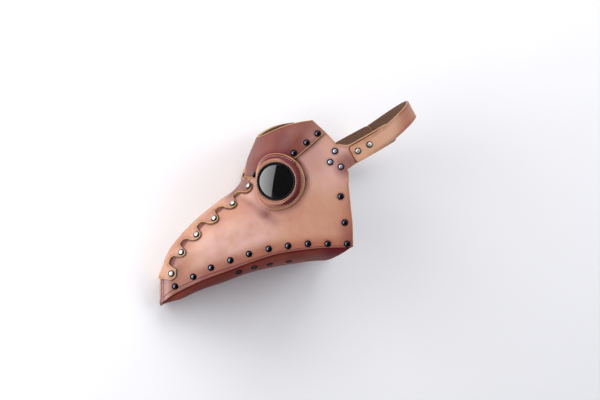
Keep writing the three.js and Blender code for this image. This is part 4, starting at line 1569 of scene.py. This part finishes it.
def lens_material():
    material, tree, shader, where = new_material("dark_lens")
    haze = noise(tree, where, 40, 2.0)
    tree.links.new(
        socket_mix(tree, "colour", haze, (0.002, 0.002, 0.002, 1), (0.004, 0.004, 0.004, 1)),
        shader.inputs["Base Color"])
    shader.inputs["Roughness"].default_value = 0.035
    shader.inputs["IOR"].default_value = 2.0
    return material


lens_glass = lens_material()


def piece_at_eye(name, profile, turn, material):
    """The profile's heights count from the lens level."""
    mesh = spun([(radius, LENS_LEVEL + height) for radius, height in profile], RIM_STEPS)
    axis = row_direction(eye_axis * turn)
    up = row_direction(eye_up)
    right = up.cross(axis)
    set_in_place(mesh, eye_on_face * turn, Matrix((right, up, axis)).transposed())
    return finish_piece(name, mesh, (material,), name)


def lens_profile():
    steps = np.linspace(0, 1, 14)
    cap = [(LENS_RADIUS * s, LENS_EDGE + LENS_DOME * (1 - s * s)) for s in steps]
    return cap + [(LENS_RADIUS, LENS_BACK), (0, LENS_BACK)]


for side, turn in SIDES:
    rim = piece_at_eye("lens_rim_" + side, RIM_PROFILE, turn, rim_and_hole_shade)
    lens = piece_at_eye("lens_" + side, lens_profile(), turn, lens_glass)
    print(rim.name, "and", lens.name, "have", len(lens.data.polygons), "faces in the lens")

# %% [markdown]
# Rivets are polished on the crown and dark round the skirt, partly a duller collar and partly
# painted shade where the dome curves down to the leather. Each rivet's points keep how far out
# they are, and the metal reads that. They are silvery on the ridge and the strap and gunmetal
# elsewhere; the tab's gunmetal rivets are painted pale and bluish, a painted reflection.

# %% Rivet metals


def metal(name, colour, roughness, skirt, skirt_from, metallic=1.0):
    """Polished metal with a darker skirt, partly painted shade, from a part of the radius outwards."""
    material, tree, shader, where = new_material(name)
    wear = noise(tree, where, 220, 3.0)
    darker = tuple(c * 0.7 for c in colour[:3]) + (1,)
    shade = socket_mix(tree, "colour", ramp(tree, wear, 0.35, 0.65), darker, colour)
    on_skirt = ramp(tree, attribute(tree, "outer"), skirt_from, skirt_from + 0.14)
    shade = socket_mix(tree, "colour", on_skirt, shade, skirt)
    tree.links.new(shade, shader.inputs["Base Color"])
    shader.inputs["Metallic"].default_value = metallic
    shader.inputs["Roughness"].default_value = roughness
    bumped(tree, shader, wear, 0.00005)
    return material


bright_metal = metal("bright_rivet", (0.74, 0.72, 0.66, 1), 0.26, (0.02, 0.022, 0.02, 1), 0.54, 0.6)
# Painted reflection: the tab's gunmetal rivets are painted pale and bluish for the light they catch.
lit_tab_metal = metal("tab_rivet_painted_reflection", (0.60, 0.60, 0.76, 1), 0.26, (0.01, 0.01, 0.018, 1), 0.46, 0.6)
dark_metal = metal("dark_rivet", (0.09, 0.10, 0.14, 1), 0.12, (0.004, 0.004, 0.006, 1), 0.5)


print("rivet metals:", bright_metal.name, lit_tab_metal.name, dark_metal.name)

# %% [markdown]
# A rivet is a domed cap on a thin collar that is pressed into the leather. One profile is spun
# for each, then stood on the face along its normal. The rivets at the rear edge and the bridge
# have no solid of their own and are only made here.

# %% Rivets
RIVET_RADIUS = 4.45
RIVET_HEIGHT = 2.5
DOME_FOOT = 0.35
DOME_SHARE = 0.86
RIVET_STEPS = 28
PRESSED = 0.15


def rivet_profile():
    angles = np.linspace(0, math.pi / 2, 9)
    dome = [
        (RIVET_RADIUS * DOME_SHARE * math.sin(angle),
         DOME_FOOT + (RIVET_HEIGHT - DOME_FOOT) * math.cos(angle)) for angle in angles]
    collar = [(0.9, 0.3), (0.98, 0.22), (1, 0.05), (1, -0.5), (0, -0.5)]
    return dome + [(RIVET_RADIUS * part, height) for part, height in collar]


def make_rivet(name, point, normal, material, node):
    mesh = spun(rivet_profile(), RIVET_STEPS)
    outer = [math.hypot(vertex.co.x, vertex.co.y) * 1000 / RIVET_RADIUS for vertex in mesh.verts]
    set_in_place(mesh, point, row_direction(normal).to_track_quat("Z", "Y").to_matrix())
    piece = finish_piece(name, mesh, (material,), node)
    write_attribute(piece, "outer", outer)


def rivets_on(group, places, layer, material, with_nodes=True):
    """places are points on the face and their normals, and layer the leather's height there."""
    for index, (point, normal) in enumerate(places, 1):
        for side, turn in SIDES:
            name = f"rivet_{group}_{side}_{index}"
            node = name if with_nodes else None
            raised = point + normal * (layer + PRESSED)
            make_rivet(name, raised * turn, normal * turn, material, node)


def face_places(flat):
    """Points on the face over places (x, y), each with its normal."""
    points = on_face(np.array(flat, float))
    return list(zip(points, face_normal(points)))


ridge_flat = over_ridge([p[0] for p in RIDGE_RIVETS], [[p[1]] for p in RIDGE_RIVETS])[:, 0]
rivets_on("ridge", face_places(ridge_flat), TOP_LAYER, bright_metal)
rivets_on("lower", face_places(LOWER_RIVETS), 0, dark_metal)
rivets_on("brow", face_places(BROW_RIVETS), TOP_LAYER, dark_metal)
rivets_on("tab", face_places(TAB_RIVETS), 0, lit_tab_metal)
rivets_on("rear", face_places(REAR_RIVETS), 0, dark_metal, False)
rivets_on("bridge", face_places([BRIDGE_RIVET]), TOP_LAYER, dark_metal, False)

strap_places = []
for along in STRAP_RIVETS:
    around = np.array([along - 0.5, along, along + 0.5])
    patch = wrap_point(around[:, None] + np.zeros(3), np.zeros((3, 1)) + np.array([-0.5, 0, 0.5]))
    strap_places.append((patch[1, 1], grid_normals(patch)[1, 1]))
rivets_on("strap", strap_places, TOP_LAYER, bright_metal)

# %% [markdown]
# The vents in the bottom panel are small dark eyelets in two rows. Each is a rolled ring round a
# sunk black disc, spun like the rivets. The disc is painted shade for the inside of the hole: a
# real hole would show the floor through the mask, but only darkness shows in these.

# %% Vent eyelets
# Knot of the lower edge and share of the way from the middle to the flange.
VENTS = [(4.55, 0.45), (5.15, 0.43), (5.75, 0.36), (6.35, 0.32)]
VENT_HOLE = 3.1
VENT_PROFILE = [
    (0, 0.05), (3.0, 0.05), (VENT_HOLE, 0.35), (3.4, 0.6), (3.8, 0.65), (4.2, 0.45), (4.5, 0.1),
    (4.5, -0.6), (0, -0.6),
]
VENT_STEPS = 24
eyelet_metal = plain("eyelet", (0.005, 0.009, 0.010, 1), 0.6, specular=0.03)


def make_vent(name, point, normal):
    mesh = spun(VENT_PROFILE, VENT_STEPS)
    for face in mesh.faces:
        centre = face.calc_center_median()
        if math.hypot(centre.x, centre.y) < VENT_HOLE / 1000 and centre.z > 0:
            # The sunk disc gets the black of painted shade.
            face.material_index = 1
    set_in_place(mesh, point, row_direction(normal).to_track_quat("Z", "Y").to_matrix())
    finish_piece(name, mesh, (eyelet_metal, rim_and_hole_shade))


for index, (knot, across) in enumerate(VENTS, 1):
    for side, turn in SIDES:
        around_knot = knot + np.array([-0.02, 0, 0.02])[:, None] + np.zeros(3)
        around_across = turn[2] * across + np.array([-0.01, 0, 0.01])[None] + np.zeros((3, 1))
        patch = sole_face(around_knot, around_across)
        normal = grid_normals(patch)[1, 1]
        normal = normal * (-1 if normal[1] > 0 else 1)
        make_vent(f"vent_{side}_{index}", patch[1, 1], normal)
print("vents made:", len(VENTS) * len(SIDES))

# %% [markdown]
# The mask lies on a plain pale floor that is wide enough to fill the view. It is part of the
# studio and not of the mask, so it is staged and doesn't ride.

# %% Floor
floor_mesh = bmesh.new()
bmesh.ops.create_grid(floor_mesh, x_segments=1, y_segments=1, size=4)
floor_data = bpy.data.meshes.new("floor")
floor_mesh.to_mesh(floor_data)
floor_mesh.free()
floor = bpy.data.objects.new("floor", floor_data)
bpy.context.collection.objects.link(floor)
floor_material, floor_tree, floor_shader, floor_where = new_material("floor")
floor_speckle = noise(floor_tree, floor_where, 3, 2.0)
floor_tree.links.new(
    socket_mix(floor_tree, "colour", floor_speckle, (0.92, 0.92, 0.94, 1), (0.95, 0.95, 0.97, 1)),
    floor_shader.inputs["Base Color"])
floor_shader.inputs["Roughness"].default_value = 0.7
floor_data.materials.append(floor_material)
print("floor is", round(floor.dimensions.x, 1), "m wide")

# %% [markdown]
# Wide soft boxes light leather without hard spots. One in front of the beak's side also shows in
# the lens, and fades across its width as a box with its lamp at one end does. A narrow one
# beside it brightens the rivets, and two more fill from above and behind. Each is placed by
# its direction from the worn mask, in degrees towards the front and upwards.

# %% Lights
EYE_ABOUT = (143, 162, 60)
CHEEK_ABOUT = (130, 130, 30)


def fade_across(data, first, last):
    """Lets a light's strength change from one side of it to the other."""
    data.use_nodes = True
    tree = data.node_tree
    across = tree.nodes.new("ShaderNodeSeparateXYZ")
    tree.links.new(tree.nodes.new("ShaderNodeNewGeometry").outputs["Parametric"], across.inputs[0])
    glow = socket_mix(tree, "number", across.outputs["X"], first, last)
    tree.links.new(glow, tree.nodes["Emission"].inputs["Strength"])


def soft_box(name, towards, distance, size, power, colour, about=CHEEK_ABOUT, lean=0):
    """A rectangular light that looks at a place of the worn mask from a direction."""
    data = bpy.data.lights.new(name, "AREA")
    data.shape = "RECTANGLE"
    data.size, data.size_y = size
    data.energy = power
    data.color = colour
    lamp = bpy.data.objects.new(name, data)
    bpy.context.collection.objects.link(lamp)
    direction = row_direction(towards)
    right = row_direction((0, 1, 0)).cross(direction).normalized()
    up = direction.cross(right)
    roll = Matrix.Rotation(math.radians(lean), 3, direction)
    turned = Matrix((roll @ right, roll @ up, direction)).transposed().to_4x4()
    place = Vector(to_row(about)) + direction * distance
    lamp.matrix_world = Matrix.Translation(place) @ turned
    return lamp


def from_front(degrees_forward, degrees_up):
    turn, lift = math.radians(degrees_forward), math.radians(degrees_up)
    return (-math.sin(turn) * math.cos(lift), math.sin(lift), math.cos(turn) * math.cos(lift))


BOX_LEAN = -8
front_white = (1, 0.99, 0.99)
front_box = soft_box(
    "soft_box_front", from_front(47, 4), 1.5, (1.0, 1.9), 17.5, front_white, EYE_ABOUT, BOX_LEAN)
fade_across(front_box.data, 1.6, 0.5)
soft_box("strip_light", from_front(64, 6), 1.42, (0.4, 1.5), 7, (1, 1, 1), EYE_ABOUT, BOX_LEAN)
soft_box("soft_box_top", from_front(-12, 60), 1.8, (1.6, 0.9), 19, (1, 0.98, 0.96))
soft_box("soft_box_back", from_front(-58, 20), 1.8, (0.9, 1.4), 11, (0.96, 0.97, 1))
print("studio power", sum(light.energy for light in bpy.data.lights), "W")

# %% [markdown]
# A pale sky keeps the shadows open. It is darker overhead, in the world's own upward direction,
# so the lens stays dark where no box shows in it. The plain view transform keeps colours as
# they are set, without a film curve.

# %% Sky
SKY_PALE = (0.86, 0.88, 0.95, 1)
SKY_DARK = (0.03, 0.03, 0.035, 1)
SKY_STRENGTH = 0.84

world = bpy.data.worlds.new("world")
world.use_nodes = True
sky = world.node_tree
sky_height = sky.nodes.new("ShaderNodeSeparateXYZ")
sky.links.new(sky.nodes.new("ShaderNodeTexCoord").outputs["Generated"], sky_height.inputs[0])
overhead = ramp(sky, sky_height.outputs["Z"], 0.35, 0.72)
sky_colour = socket_mix(sky, "colour", overhead, SKY_PALE, SKY_DARK)
sky.links.new(sky_colour, sky.nodes["Background"].inputs["Color"])
sky.nodes["Background"].inputs["Strength"].default_value = SKY_STRENGTH
bpy.context.scene.world = world
bpy.context.scene.view_settings.view_transform = "Standard"
print("sky strength", SKY_STRENGTH)
